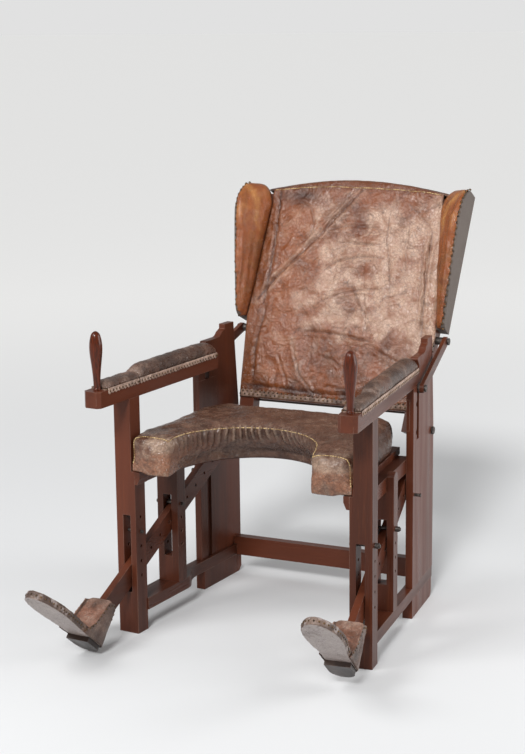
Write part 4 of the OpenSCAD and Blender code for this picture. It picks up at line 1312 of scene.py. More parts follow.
@dataclass(kw_only=True)
class SeatCushion(StuffedLeather):
    """The horseshoe cushion: gathered inner wall, welted seam and rubbed front ends, with painted highlights
    on the gathers and ends.
    """

    name: str = "seat_leather"
    node: str = "seat_cushion"
    body: str = "frame"
    slot: str = "seat_leather"
    voxel: float = 0.0045
    cap: float = 0.006
    half_w: float = 0.178
    depth: float = 0.183
    seat_top: float = 0.4292
    height: float = 0.070
    gather: float = 0.0026
    belly: float = 0.017
    rounding: int = 48
    end_depth: float = 0.052
    end_fade: float = 0.0009
    stitches: Row = Row(0.0062, 0.0012, 0.0005, 0.0058)
    thread: bpy.types.Material | None = None

    def held(self, points: np.ndarray) -> np.ndarray:
        """The base, and the sides where the legs and posts stand close.

        Args:
            points: The points, one row each.

        Returns:
            Whether each is held.
        """
        y = points[:, 1] + PLAN.origin_y
        edge = PLAN.half_w - 0.050 - y * math.tan(math.radians(PLAN.splay))
        near_leg = (np.abs(points[:, 0]) > edge - 0.006) & (y < 0.06)
        return (points[:, 2] < self.seat_top + 0.005) | near_leg

    def wall(self, angle: float, inset: float, height: float) -> Vector:
        """Point over the horseshoe's edge.

        Args:
            angle: Turn round the horseshoe in degrees, 0 at its left front end.
            inset: Distance from the edge over the leather.
            height: Height over the seat board.

        Returns:
            The point in the chair's frame.
        """
        turn = math.radians(angle)
        x = -(self.half_w + inset) * math.cos(turn)
        y = (self.depth + inset) * math.sin(turn)
        return Vector((x, y - PLAN.origin_y, self.seat_top + height))

    def sculpt(self, piece: bpy.types.Object) -> None:
        """Gathers the inner wall under its seam, dents the top, and paints scuffs with painted highlights,
        warmth and grime.

        Args:
            piece: The piece.
        """
        hide = Hide(piece)
        p = hide.points()
        n = hide.normals()
        x = np.abs(p[:, 0])
        y = p[:, 1] + PLAN.origin_y
        z = p[:, 2] - self.seat_top
        turn = np.degrees(np.arctan2(np.maximum(y, 0.0) / self.depth, -p[:, 0] / self.half_w))
        reach = np.hypot(x / self.half_w, np.maximum(y, 0.0) / self.depth)
        wall = soft(reach, 1.16, 1.03) * soft(y, 0.0, 0.03)
        middle = np.exp(-(((turn - 84.0) / 38.0) ** 2))
        ripple = np.sin(np.radians(turn) * 68.0 + 3.0 * cloudy(p, 14.0, 2, 3.0))
        under_seam = soft(z, 0.012, 0.05) * soft(z, 0.079, 0.068)
        gathers = self.gather * ripple * wall * under_seam * (0.35 + middle)
        seam = np.exp(-(((z - 0.0715) / 0.0035) ** 2)) * soft(reach, 1.1, 1.02) * 0.002
        dents = cloudy(p, 11.0, 3) * 0.003 + cloudy(p, 42.0, 3, 7.0) * 0.0014
        hide.raise_by(gathers + seam + dents * soft(z, 0.0, 0.02))
        droop = soft(z, 0.004, -0.016) * soft(y, 0.07, 0.0) * soft(x, 0.262, 0.235)
        inward = soft(z, 0.034, 0.012) * soft(y, 0.06, 0.0) * soft(x, 0.222, 0.205)
        moved = hide.points()
        moved[:, 2] -= 0.005 * droop
        moved[:, 0] -= np.sign(moved[:, 0]) * 0.004 * inward
        wide = np.clip(1 - ((x - 0.229) / 0.048) ** 2, 0.0, 1.0)
        belly = wide * np.clip(1 - ((z - 0.028) / 0.052) ** 2, 0.0, 1.0)
        moved[:, 1] -= self.belly * belly**0.8 * soft(y, 0.04, 0.0)
        hide.move(moved)
        front = soft(y, 0.10, -0.01)
        low = soft(z, 0.056, 0.02)
        spots = cloudy(p, 26.0, 4, 11.0)
        hide.paint("warm", front * low * (0.8 + spots) + 0.5 * wall * low + 0.12 * soft(spots, 0.2, 0.6))
        # Painted highlights: the ridges of the gathers and, through shoulder, the upper fronts of the front
        # ends are painted pale with the scuffing.
        ridge = soft(ripple, 0.1, 0.9) * wall * under_seam * middle
        top = soft(n[:, 2], 0.5, 0.9)
        shoulder = soft(y, 0.05, -0.01) * soft(z, 0.028, 0.052) * (0.3 + 1.5 * spots)
        hide.paint("wear", 0.1 + 0.95 * ridge + 0.3 * np.abs(spots) + 0.2 * front * (1 - top) + shoulder)
        # Darker where the leather does not face up, away from the front ends.
        hide.paint("dirt_and_shade", 0.35 * soft(cloudy(p, 8.0, 3, 17.0), 0.1, 0.5) + 0.3 * (1 - top) * (1 - front))

    def round_off(self, piece: bpy.types.Object) -> None:
        """Smooths the net, most of all at the front ends.

        Args:
            piece: The piece.
        """
        bm = bmesh.new()
        bm.from_mesh(piece.data)
        for step in range(self.rounding):
            # Each pass works on a little less of the ends, so that they fade into the sides.
            deep = self.end_depth - self.end_fade * step
            ends = [v for v in bm.verts if v.co.y + PLAN.origin_y < deep and v.co.z > self.seat_top + 0.001]
            smooth(bm, ends)
        bm.to_mesh(piece.data)
        bm.free()
        super().round_off(piece)

    def seam_line(self) -> list[Vector]:
        """Line of the welt: round the horseshoe, then over each front end and down its outer edge.

        Returns:
            The line's points.
        """
        line = [self.wall(a, 0.003, self.height + 0.001) for a in range(6, 175, 3)]
        half = PLAN.half_w - PLAN.arm_w - 0.005
        front = -PLAN.origin_y - 0.004

        def end(sign: float) -> list[Vector]:
            """Front end's line on one side, from the outer foot to the horseshoe."""
            shape = [(0.0, 0.006), (0.0, 0.030), (0.001, 0.055), (0.008, 0.068), (0.03, 0.071)]
            shape += [(0.06, 0.072), (0.085, 0.072), (half - self.half_w - 0.004, 0.068)]
            return [Vector((sign * (half - x), front, self.seat_top + z)) for x, z in shape]

        return end(-1.0) + line + end(1.0)[::-1]

    def welt(self, piece: bpy.types.Object) -> None:
        """Sews a line of stitches along the welt and down between the boxing's lengths."""
        bm = bmesh.new()
        self.stitches.sew(bm, skin_of(piece), self.seam_line())
        settle(bm, "seat_stitches", self.thread, "frame")

    def build(self) -> bpy.types.Object:
        """Makes the cushion and its stitching."""
        piece = super().build()
        self.welt(piece)
        return piece


@dataclass(kw_only=True)
class ArmPad(StuffedLeather):
    """One of the two pads on an arm."""

    voxel: float = 0.0034
    cap: float = 0.0035

    def held(self, points: np.ndarray) -> np.ndarray:
        """The base, and the ends that meet the other pad or the rear board."""
        y = points[:, 1]
        base = points[:, 2] < PLAN.arm_top + 0.003
        return base | (y < y.min() + 0.002) | (y > y.max() - 0.004)

    def sculpt(self, piece: bpy.types.Object) -> None:
        """Presses dents into the pad and paints its dry bloom.

        Args:
            piece: The piece.
        """
        hide = Hide(piece)
        p = hide.points()
        z = p[:, 2] - PLAN.arm_top
        lumps = cloudy(p, 24.0, 3, 3.0) * 0.0016 + cloudy(p, 90.0, 3, 1.0) * 0.0006
        hide.raise_by(lumps * soft(z, 0.0, 0.006))
        spots = cloudy(p, 30.0, 4, 21.0)
        y = p[:, 1]
        seam = soft(np.minimum(y - y.min(), y.max() - y), 0.02, 0.0)
        hide.paint("wear", 0.12 + 0.5 * soft(spots, 0.0, 0.5) + 0.6 * seam + 0.3 * soft(z, 0.012, 0.0))
        hide.paint("warm", 0.55 * soft(cloudy(p, 13.0, 3, 31.0), 0.1, 0.5) + 0.3 * seam)
        hide.paint("dirt_and_shade", 0.5 * soft(cloudy(p, 10.0, 3, 41.0), 0.0, 0.4))


@dataclass(kw_only=True)
class WingPad(StuffedLeather):
    """The stuffed inside of a wing."""

    voxel: float = 0.0042
    cap: float = 0.0045

    def held(self, points: np.ndarray) -> np.ndarray:
        """The root against the stile, and the outer side against the wing's board."""
        x, d, t = seen_in(PLAN.back().inverted(), points).T
        outer = np.abs(x) > PLAN.stile_half + np.tan(math.radians(PLAN.stile_lean)) * t + 0.012
        return (d > 0.0005) | (outer & (d > -0.012))

    def sculpt(self, piece: bpy.types.Object) -> None:
        """Folds the leather lengthwise and paints the top bright.

        Args:
            piece: The piece.
        """
        hide = Hide(piece)
        p = hide.points()
        x, d, t = seen_in(PLAN.back().inverted(), p).T
        x = np.abs(x)
        fold = np.sin(x * 420.0 + 3.0 * cloudy(p, 9.0, 2, 2.0)) * soft(t, 0.5, 0.36) * soft(t, 0.22, 0.3)
        hide.raise_by(cloudy(p, 16.0, 3, 6.0) * 0.002 + cloudy(p, 60.0, 3, 8.0) * 0.0005 + fold * 0.0008)
        top = soft(t, 0.42, 0.475)
        spots = cloudy(p, 21.0, 4, 12.0)
        hide.paint("warm", 0.5 + 0.15 * top + 0.3 * spots)
        brim = np.exp(-(((d + 0.012 + 0.03 * top) / 0.006) ** 2)) * top
        hide.paint("wear", 0.1 + 0.25 * soft(spots, 0.1, 0.5) + 0.35 * soft(d, -0.072, -0.09) + 0.6 * brim)
        low = soft(t, 0.47, 0.38)
        hide.paint("dirt_and_shade", low * (0.22 + 0.6 * spots) + 0.12 * top + 0.6 * soft(d, -0.012, 0.0))


# Back


@dataclass(frozen=True)
class Crease:
    """One crease in the back's leather, along points across and up the back, in millimetres."""

    line: tuple[tuple[float, float], ...]
    width: float = 3.5
    depth: float = 2.0
    lip: float = 0.6


@dataclass
class BackLeather:
    """The back's leather, over the front, round the edges and over the crest to the rear."""

    finishes: Finishes
    columns: int = 176
    rows: int = 214
    thickness: float = 0.003
    pad_edge: float = 0.005
    crown: float = 0.011
    front: float = 0.005
    rear: float = 0.050
    over_stile: float = 0.022
    fill: float = 0.5
    stitches: Row = Row(0.0055, 0.001, 0.0004, 0.0056)
    creases: tuple[Crease, ...] = (
        Crease(((15, 572), (-34, 511), (-90, 440), (-144, 378), (-198, 320), (-240, 262)), 6.0, 3.4, 1.2),
        Crease(((5, 578), (-41, 527), (-77, 477), (-98, 440), (-124, 406)), 4.0, 1.6, 0.8),
        Crease(((103, 500), (106, 440), (120, 378), (134, 298)), 3.2, 2.6, 0.8),
        Crease(((162, 490), (164, 407), (168, 340)), 3.2, 1.8, 0.6),
        Crease(((-73, 455), (-35, 470), (0, 474), (66, 472), (96, 462)), 5.0, 2.2, 1.0),
        Crease(((-26, 429), (40, 424), (87, 425)), 5.0, 2.2, 1.0),
        Crease(((-57, 350), (-36, 370), (-14, 380), (50, 392), (102, 390)), 5.0, 2.6, 1.0),
        Crease(((-63, 259), (-36, 274), (-9, 285), (59, 303), (127, 311)), 3.6, 2.2, 0.8),
        Crease(((-90, 185), (-37, 182), (16, 179), (93, 166)), 5.0, 2.8, 1.2),
        Crease(((-124, 160), (-107, 112), (-90, 68), (-61, 35), (-31, 6)), 3.6, 2.0, 1.0),
        Crease(((51, 383), (60, 312), (75, 223), (83, 197)), 3.4, 1.6, 0.6),
        Crease(((224, 470), (224, 356), (229, 268), (233, 189)), 5.0, 3.2, 1.8),
        Crease(((206, 440), (212, 330), (216, 240)), 4.0, 1.8, 1.0),
        Crease(((-219, 560), (-216, 435), (-216, 342), (-221, 250)), 6.0, 3.0, 1.4),
        Crease(((-211, 250), (-227, 135), (-220, 45)), 6.0, 2.6, 1.2),
        Crease(((-182, 529), (-150, 533), (-122, 517), (-108, 480), (-116, 440), (-145, 415)), 5.0, 2.0, 1.0),
        Crease(((-41, 121), (-2, 111), (29, 95)), 4.0, 2.0, 1.0),
        Crease(((-250, 30), (-150, 26), (-25, 20), (40, 22), (240, 28)), 6.0, 2.2, 0.8),
        Crease(((150, 540), (196, 500), (226, 470)), 5.0, 1.8, 1.0),
        Crease(((-160, 120), (-130, 60), (-120, 30)), 4.5, 1.6, 0.8),
        Crease(((110, 150), (170, 120), (230, 110)), 5.0, 1.8, 0.8),
    )

    def half(self, t: float) -> float:
        """Half width of the leather at height t; it gives way to the wings above their start.

        Args:
            t: Height up the slope.

        Returns:
            The half width.
        """
        if t < PLAN.wing_t0:
            return PLAN.stile_out(t)
        share = min(1.0, (t - PLAN.wing_t0) / 0.320)
        return PLAN.stile_out(PLAN.wing_t0) * (1 - share) + PLAN.leather_top * share

    def section(self, g: float) -> list[tuple[float, float]]:
        """Front-to-rear outline at share g of the half width, as height up the slope and depth.

        Args:
            g: The share, from -1 at the left edge to 1 at the right.

        Returns:
            The outline's points.
        """
        top = PLAN.crest(g * PLAN.leather_top)
        edge = 1 - min(1.0, abs(g)) ** 6
        outline = []
        for i in range(41):
            f = (i / 40) ** 1.15 * 0.95
            swell = min(1.0, f / 0.08)
            puff = self.pad_edge + self.crown * edge * (0.35 * swell + 0.65 * math.sin(math.pi * f))
            t = -0.005 + (top - 0.007) * f
            outline.append((t, self.front - puff * (0.6 + 0.4 * swell)))
        t0, d0 = outline[-1]
        over = [(0.016, -0.0045), (0.008, -0.003), (0.002, 0.003), (0.0, 0.019), (0.001, 0.039)]
        over += [(0.004, self.rear - 0.002), (0.009, self.rear + 0.002), (0.018, self.rear + 0.0035)]
        roll = [(top - drop, d) for drop, d in over]
        return outline + [p for p in roll if p[0] > t0 or p[1] > d0] + [(top - 0.034, self.rear + 0.003)]

    def surface(self, g: float, s: float) -> Vector:
        """Point of the leather.

        Args:
            g: Share of the half width, past 1 where the leather turns round the edge.
            s: Share of the way from the lower edge, up the front and over to the rear.

        Returns:
            The point, across, rearward and up the slope.
        """
        inside = max(-1.0, min(1.0, g))
        outline = [Vector(p) for p in self.section(inside)]
        lengths = lengths_along(outline)
        want = s * lengths[-1]
        k = min(len(outline) - 2, max(0, int(np.searchsorted(lengths, want)) - 1))
        f = (want - lengths[k]) / max(1e-9, lengths[k + 1] - lengths[k])
        t, d = outline[k].lerp(outline[k + 1], f)
        x = inside * (self.half(t) + self.over_stile * max(0.0, min(1.0, (d - 0.004) / 0.010)))
        wrap = (abs(g) - 1.0) / 0.04
        if wrap > 0 and d < 0.004:
            reach = 0.013 if t < PLAN.wing_t0 - 0.006 else 0.0042
            x += math.copysign(0.0009, g)
            d = d + (reach - d) * wrap
        elif wrap > 0:
            t -= 0.004 * wrap
        return Vector((x, d, t))

    def sheet(self) -> bmesh.types.BMesh:
        """Lays an even net over the back.

        Returns:
            The net, which faces the front.
        """
        bm = bmesh.new()
        bmesh.ops.create_grid(bm, x_segments=self.columns, y_segments=self.rows, size=0.5)
        for vert in bm.verts:
            vert.co = self.surface(vert.co.x * 2.08, vert.co.y + 0.5)
        bmesh.ops.recalc_face_normals(bm, faces=bm.faces[:])
        middle = min(bm.faces, key=lambda face: (face.calc_center_median() - Vector((0, -0.01, 0.3))).length)
        if middle.normal.y > 0:
            bmesh.ops.reverse_faces(bm, faces=bm.faces[:])
        return bm

    def wrinkle(self, bm: bmesh.types.BMesh) -> None:
        """Presses the creases, sags and fine wrinkles into the sheet.

        Args:
            bm: The sheet, in the back's frame.
        """
        bm.normal_update()
        verts = bm.verts[:]
        place = np.array([v.co for v in verts])
        x, d, t = place.T * 1000.0
        height = cloudy(place, 7.0, 3, 2.0) * 2.8 + cloudy(place, 20.0, 3, 4.0) * 1.7
        upright = soft(x, 40.0, 130.0)
        level = soft(np.abs(x - 10.0), 150.0, 60.0) * (1 - upright)
        slanted = soft(x, 0.0, -90.0) * soft(t, 250.0, 330.0)
        side, rear, up = place.T
        turned = np.c_[side * 0.75 - up * 0.66, rear, side * 0.66 + up * 0.75]
        for share, net, stretch in (
            (upright, place, (1.0, 1.0, 0.2)),
            (level, place, (0.25, 1.0, 1.0)),
            (slanted, turned, (1.0, 1.0, 0.22)),
        ):
            ridge = 1.0 - np.minimum(1.0, 2.6 * np.abs(cloudy(net * np.array(stretch), 34.0, 2, 9.0)))
            finer = 1.0 - np.minimum(1.0, 2.6 * np.abs(cloudy(net * np.array(stretch), 72.0, 2, 15.0)))
            ridge = 2.4 * ridge**2 + 0.8 * finer**2
            height += ridge * share * (0.4 + 0.6 * soft(cloudy(place, 9.0, 2, 21.0), -0.2, 0.3))
        for crease in self.creases:
            gap, share = distance_to(crease.line, x + 5 * cloudy(place, 30.0, 2, 13.0), t)
            fade = soft(share, 0.0, 0.15) * soft(share, 1.0, 0.85)
            width = crease.width * 0.7
            height -= crease.depth * np.exp(-((gap / width) ** 2)) * fade
            height += 1.6 * crease.lip * np.exp(-(((gap - width * 2.4) / (width * 1.2)) ** 2)) * fade
        sag = soft(distance_to(((-90, 185), (93, 166)), x, t)[0], 60.0, 0.0) * soft(t, 190.0, 165.0)
        height -= sag * 2.2
        front = soft(d, 1.0, -1.5) * soft(t, -5.0, 12.0)
        rim = soft(np.abs(x) / np.array([1000 * self.half(max(0.0, v / 1000)) for v in t]), 1.0, 0.97)
        height = height * front * (0.2 + 0.8 * rim)
        height += 0.6 * cloudy(place, 26.0, 3, 5.0) * (1 - front) * soft(t, 480.0, 560.0)
        for vert, rise in zip(verts, height * MM):
            vert.co += vert.normal * float(max(-0.0062, rise))

    def paint(self, piece: bpy.types.Object, inner: Matrix) -> None:
        """Paints scuffs, warm edges, dark stains, painted shade along the creases and a painted highlight on
        the diagonal crease's lip.

        Args:
            piece: The leather, in the chair's frame.
            inner: The matrix from the chair's frame to the back's own.
        """
        hide = Hide(piece)
        p = hide.points()
        x, d, t = seen_in(inner, p).T * 1000.0
        wander = cloudy(p, 9.0, 3, 1.0) * 38.0
        spots = cloudy(p, 24.0, 4, 6.0)
        inside = soft(x + wander, -125.0, -70.0) * soft(t + wander, 176.0, 200.0)
        inside *= soft(t + wander, 560.0, 470.0)
        right = soft(x, 120.0, 240.0) * soft(t, 20.0, 90.0)
        drift = cloudy(p, 13.0, 3, 37.0)
        bloom = inside * (0.68 + 0.6 * spots + 0.8 * drift) + 0.45 * right * (0.8 + drift)
        # Painted highlight: a pale band along the raised lip beside the diagonal crease.
        diagonal = distance_to(((15, 572), (-90, 440), (-198, 320), (-240, 262)), x, t)[0]
        bloom += 0.42 * np.exp(-(((diagonal - 9.0) / 7.0) ** 2)) * (0.8 + drift)
        bloom += 0.25 * soft(spots, 0.0, 0.5)
        bloom += 0.5 * np.exp(-((distance_to(((-124, 160), (-90, 68), (-31, 6)), x, t)[0] / 7.0) ** 2))
        bloom *= 1.0 - 0.5 * soft(t + wander, 130.0, 60.0) * soft(x, 150.0, 90.0)
        hide.paint("wear", bloom * soft(t, 588.0, 570.0))
        left = soft(x + 0.6 * wander, -165.0, -225.0)
        low = soft(t, 70.0, 10.0)
        crest = soft(t, 562.0, 578.0)
        third = soft(x + wander, -60.0, -150.0)
        edges = 0.35 * left + 0.5 * low * (0.6 + spots) + 0.5 * crest + 0.35 * soft(x, 225.0, 252.0)
        hide.paint("warm", 0.65 * third * (0.8 + spots) + edges + 0.3 * soft(t, 130.0, 60.0))
        patch = np.exp(-((np.hypot((x + 150.0) / 55.0, (t - 552.0) / 22.0)) ** 2))
        pocket = soft(t + 0.5 * wander, 190.0, 160.0) * soft(np.abs(x - 20.0), 190.0, 90.0)
        # Painted shade: darker along each crease, the more so the deeper it is.
        crease_shade = np.zeros(len(x))
        for crease in self.creases:
            gap = distance_to(crease.line, x, t)[0]
            crease_shade = np.maximum(crease_shade, np.exp(-((gap / (crease.width * 0.5)) ** 2)) * crease.depth / 3.4)
        borders = 0.45 * crest + 0.55 * low * (0.8 + spots) + 0.35 * left + 0.3 * soft(t, 150.0, 60.0) * spots
        # Stains are a dark patch at the upper left, a darker low middle, the creases' painted shade, and
        # darkening where the leather turns round the edges to the rear.
        stains = patch + 0.3 * pocket * (0.3 + spots) + 0.6 * crease_shade + 0.35 * soft(d, 2.0, 8.0)
        hide.paint("dirt_and_shade", stains + borders)

    def build(self) -> bpy.types.Object:
        """Makes the leather and puts it on the back.

        Returns:
            The leather.
        """
        bm = self.sheet()
        self.wrinkle(bm)
        bmesh.ops.transform(bm, matrix=PLAN.back(), verts=bm.verts[:])
        piece = settle(bm, "back_leather", self.finishes.back, "back")
        self.paint(piece, PLAN.back().inverted())
        wall = piece.modifiers.new("hide thickness", "SOLIDIFY")
        wall.thickness = self.thickness
        wall.offset = -1.0
        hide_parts("back_upholstery")
        return piece

    def crest_stitches(self) -> None:
        """Sews the pale seam under the crest's roll."""
        bm = bmesh.new()
        line = [(-233, 566), (-150, 575), (-64, 580), (27, 580), (121, 577), (200, 574), (233, 570)]
        points = [PLAN.back() @ Vector((x * MM, -0.009, t * MM)) for x, t in line]
        self.stitches.sew(bm, skin_of(bpy.data.objects["back_leather"]), points)
        settle(bm, "crest_stitches", self.finishes.thread, "back")


# Edging and nails


@dataclass
class ScallopedEdging:
    """A thin leather strip, cut in scallops along one edge and nailed down."""

    name: str
    body: str
    slot: str
    finishes: Finishes
    pitch: float = 0.0125
    drop: float = 0.008
    bite: float = 0.003
    lap: float = 0.003
    thickness: float = 0.0012
    nail: float = 0.0026
    puff: float = 0.0009
    waver: float = 0.0008
    fade: float = 0.5
    nails: bmesh.types.BMesh = field(default_factory=bmesh.new)
    leather: bmesh.types.BMesh = field(default_factory=bmesh.new)

    def lay(self, start: Vector, end: Vector, down: Vector, out: Vector, rows: int = 1) -> None:
        """Lays one straight run.

        Args:
            start: Where the strip's upper edge starts.
            end: Where it ends.
            down: The way the scallops hang.
            out: The way the strip faces.
            rows: How many rows of nails hold it.
        """
        length = (end - start).length
        count = max(1, round(length / self.pitch))
        strip = bmesh.new()
        bmesh.ops.create_grid(strip, x_segments=count * 6, y_segments=4, size=0.5)
        for vert in strip.verts:
            s, h = vert.co.x + 0.5, 0.5 - vert.co.y
            phase = s * count * math.pi
            wander = noise.noise(start.lerp(end, s) * 70.0)
            edge = self.drop + self.bite * (abs(math.sin(phase)) ** 0.6 + 0.5 * wander)
            lift = self.thickness + self.puff * math.sin(phase * 2) * h + self.waver * wander * h
            vert.co = start.lerp(end, s) + down * (h * (edge + self.lap) - self.lap) + out * lift
        bmesh.ops.recalc_face_normals(strip, faces=strip.faces[:])
        if strip.faces[0].normal.dot(out) < 0:
            bmesh.ops.reverse_faces(strip, faces=strip.faces[:])
        bmesh.ops.solidify(strip, geom=strip.faces[:], thickness=self.thickness)
        bmesh.ops.recalc_face_normals(strip, faces=strip.faces[:])
        mesh = bpy.data.meshes.new("strip")
        strip.to_mesh(mesh)
        strip.free()
        self.leather.from_mesh(mesh)
        bpy.data.meshes.remove(mesh)
        for row in range(rows):
            hang = self.drop * (0.55 if rows == 1 else 0.18 + 0.62 * row)
            for i in range(count + (row % 2 == 0)):
                s = (i + 0.5 * (row % 2 == 1)) / count if rows > 1 else min(1.0, (i + 0.5) / count)
                stray = self.waver * noise.noise(Vector((i * 3.1, row, 0.7)))
                place = start.lerp(end, s) + down * (hang + stray)
                add_nail(self.nails, place + out * (self.thickness + 0.0006), out, self.nail)

    def build(self) -> None:
        """Makes the strip and its nails."""
        strip = settle(self.leather, self.name, self.finishes.edging, self.body)
        hide = Hide(strip)
        p = hide.points()
        spots = cloudy(p, 60.0, 3, 4.0)
        hide.paint("wear", self.fade + 0.7 * spots)
        hide.paint("warm", 0.25 + 0.4 * cloudy(p, 30.0, 3, 8.0))
        hide.paint("dirt_and_shade", 0.55 - self.fade * 0.6 + 0.6 * cloudy(p, 45.0, 3, 15.0))
        settle(self.nails, self.name + "_nails", self.finishes.nail, self.body)


@dataclass
class Arm:
    """The leather work of one arm: two pads and their nailed edging."""

    side: Side
    finishes: Finishes

    def build(self) -> None:
        """Makes the pads, then the edging along the arm's faces and across its front."""
        word = self.side.word
        for part in ("front", "rear"):
            ArmPad(
                name=f"arm_leather_{part}_{word}", node=f"arm_pad_{part}_{word}", body="frame",
                slot="seat_leather", finish=self.finishes.arm,
            ).build()
        place = PLAN.side(self.side)
        turn = place.to_3x3()
        edging = ScallopedEdging(f"arm_edging_{word}", "frame", "seat_leather", self.finishes, fade=0.75)
        down = Vector((0, 0, -1))
        top = PLAN.arm_top + 0.001
        runs = ((PLAN.pad_front, PLAN.pad_joint - 0.004), (PLAN.pad_joint, PLAN.pad_rear - 0.004))
        for u, out in ((0.0, -1.0), (PLAN.arm_w, 1.0)):
            for run in runs:
                start, end = (place @ Vector((u + out * 0.0001, v, top)) for v in run)
                edging.lay(start, end, down, turn @ Vector((out, 0, 0)))
        flat = ScallopedEdging(
            f"arm_front_edging_{word}", "frame", "seat_leather", self.finishes, drop=0.004, bite=0.0025
        )
        across = (0.002, PLAN.arm_w - 0.002)
        start, end = (place @ Vector((u, PLAN.pad_front + 0.001, PLAN.arm_top)) for u in across)
        flat.lay(start, end, turn @ Vector((0, -1, 0)), Vector((0, 0, 1)))
        edging.build()
        flat.build()


@dataclass
class Back:
    """The leather work of the back: hide, wings, lower band and nails."""

    finishes: Finishes
    wing_shoulder: float = 0.490
    wing_dome: float = 0.094
    wing_foot: float = 0.022
    wing_reach: float = 0.082
    wing_flare: float = 4.7
    edge_nails: Row = Row(0.0135, 0.0029, 0.0004)
    wing_nails: Row = Row(0.0145, 0.0037, 0.0004)

    def band(self) -> None:
        """Nails the scalloped band along the foot of the back, with two rows of nails."""
        place = PLAN.back()
        turn = place.to_3x3()
        band = ScallopedEdging(
            "back_band", "back", "back_leather", self.finishes, drop=0.013, bite=0.003, lap=0.004, fade=0.15
        )
        half = PLAN.stile_half - 0.002
        start, end = (place @ Vector((x, 0.0005, 0.001)) for x in (-half, half))
        up, out = turn @ Vector((0, 0, 1)), turn @ Vector((0, -1, 0))
        band.lay(start, end, up, out, rows=2)
        band.build()

    def build(self) -> None:
        """Makes the back's leather, then the wings and all nails."""
        leather = BackLeather(self.finishes)
        leather.build()
        leather.crest_stitches()
        self.band()
        nails = bmesh.new()
        for side in Side:
            sign = float(side.value)
            word = side.word
            WingPad(
                name=f"wing_leather_{word}", node=f"wing_pad_{word}", body="back",
                slot="back_leather", finish=self.finishes.wing,
            ).build()
            self.edge_nails.drive(nails, skin_of(bpy.data.objects["back_leather"]), self.low_edge(sign))
            wing = skin_of(bpy.data.objects[f"wing_leather_{word}"])
            self.wing_nails.drive(nails, wing, self.wing_brim(sign))
        settle(nails, "back_nails", self.finishes.nail, "back")

    def low_edge(self, sign: float) -> list[Vector]:
        """Line up the outer face of a stile, below the wing."""
        heights = (0.004, 0.05, 0.10, 0.15, 0.170)
        return [PLAN.back() @ Vector((sign * (PLAN.stile_out(t) + 0.0012), 0.008, t)) for t in heights]

    def wing_brim(self, sign: float) -> list[Vector]:
        """Line up the front of a wing, from its foot to the top.

        Args:
            sign: The side's sign.

        Returns:
            The line's points, in the chair's frame.
        """
        lean = math.tan(math.radians(PLAN.stile_lean))
        flare = math.tan(math.radians(self.wing_flare))
        brim = []
        for i in range(26):
            t = PLAN.wing_t0 + 0.004 + i / 25 * 0.365
            d = 0.005 - self.wing_ahead(t)
            out = 0.023 + (0.045 - d) * flare
            across = PLAN.stile_half + t * lean + out - 0.0015
            brim.append(PLAN.back() @ Vector((sign * across, d + 0.001, t)))
        return brim

    def wing_ahead(self, t: float) -> float:
        """Reach of a wing ahead of the stile at height t up the slope.

        Args:
            t: Height up the slope.

        Returns:
            The reach.
        """
        shoulder, foot, reach = self.wing_shoulder, self.wing_foot, self.wing_reach
        if t > shoulder:
            return reach * math.sqrt(max(0.0, 1 - ((t - shoulder) / self.wing_dome) ** 2))
        rise = max(0.0, min(1.0, (t - PLAN.wing_t0) / (shoulder - PLAN.wing_t0)))
        round_off = min(1.0, max(0.0, (t - PLAN.wing_t0) / foot))
        return (foot + (reach - foot) * (1 - (1 - rise) ** 1.15)) * math.sqrt(1 - (1 - round_off) ** 2)


# Foot rests


@dataclass(kw_only=True)
class FootLeather(StuffedLeather):
    """Leather on a foot plate or round a heel: worn smooth, not blown up."""

    side: Side = Side.LEFT

    def in_plate(self, hide: Hide) -> tuple[np.ndarray, np.ndarray]:
        """The points and the way each faces, in the foot plate's own frame."""
        inner = PLAN.plate(self.side).inverted()
        return seen_in(inner, hide.points()), hide.normals() @ np.array(inner)[:3, :3].T

    def stuff(self, piece: bpy.types.Object) -> None:
        """Nothing is blown up here: the leather lies on wood."""


@dataclass(kw_only=True)
class SoleLeather(FootLeather):
    """Leather over a whole foot plate, with a dark bound rim."""

    def sculpt(self, piece: bpy.types.Object) -> None:
        """Wears the rim and leaves the underside pale.

        Args:
            piece: The piece.
        """
        hide = Hide(piece)
        p = hide.points()
        local, flat = self.in_plate(hide)
        rim = soft(np.abs(flat[:, 2]), 0.8, 0.45)
        under = soft(-flat[:, 2], 0.5, 0.9)
        hide.raise_by(cloudy(p, 40.0, 3, 2.0) * 0.0007 + rim * cloudy(p, 130.0, 3, 5.0) * 0.0009)
        spots = cloudy(p, 40.0, 4, 6.0)
        heel = soft(-local[:, 1], 0.15, 0.05)
        hide.paint("wear", under * (0.85 - 0.35 * heel) + rim * soft(cloudy(p, 55.0, 4, 3.0), 0.05, 0.4))
        hide.paint("warm", rim * 0.5 + heel * 0.55 * (0.7 + spots))
        hide.paint("dirt_and_shade", rim * soft(spots, 0.35, -0.2) * 0.9 + (1 - under) * 0.2)


@dataclass(kw_only=True)
class CupLeather(FootLeather):
    """Leather of a heel cup: orange where the heel rubs it, grey outside."""

    def sculpt(self, piece: bpy.types.Object) -> None:
        """Rubs the counter bright and dulls the cheeks.

        Args:
            piece: The piece.
        """
        hide = Hide(piece)
        p = hide.points()
        local, flat = self.in_plate(hide)
        hide.raise_by(cloudy(p, 45.0, 3, 2.0) * 0.0007 + cloudy(p, 140.0, 2, 5.0) * 0.0003)
        spots = cloudy(p, 34.0, 4, 6.0)
        counter = soft(-flat[:, 1], 0.5, 0.8)
        hide.paint("wear", 0.3 + 0.5 * spots + 0.35 * soft(local[:, 2], 0.075, 0.105) * counter)
        hide.paint("warm", 0.95 * counter * (0.75 + spots) + 0.15)
        hide.paint("dirt_and_shade", 0.15 + 0.6 * cloudy(p, 26.0, 3, 24.0) + 0.2 * (1 - counter))


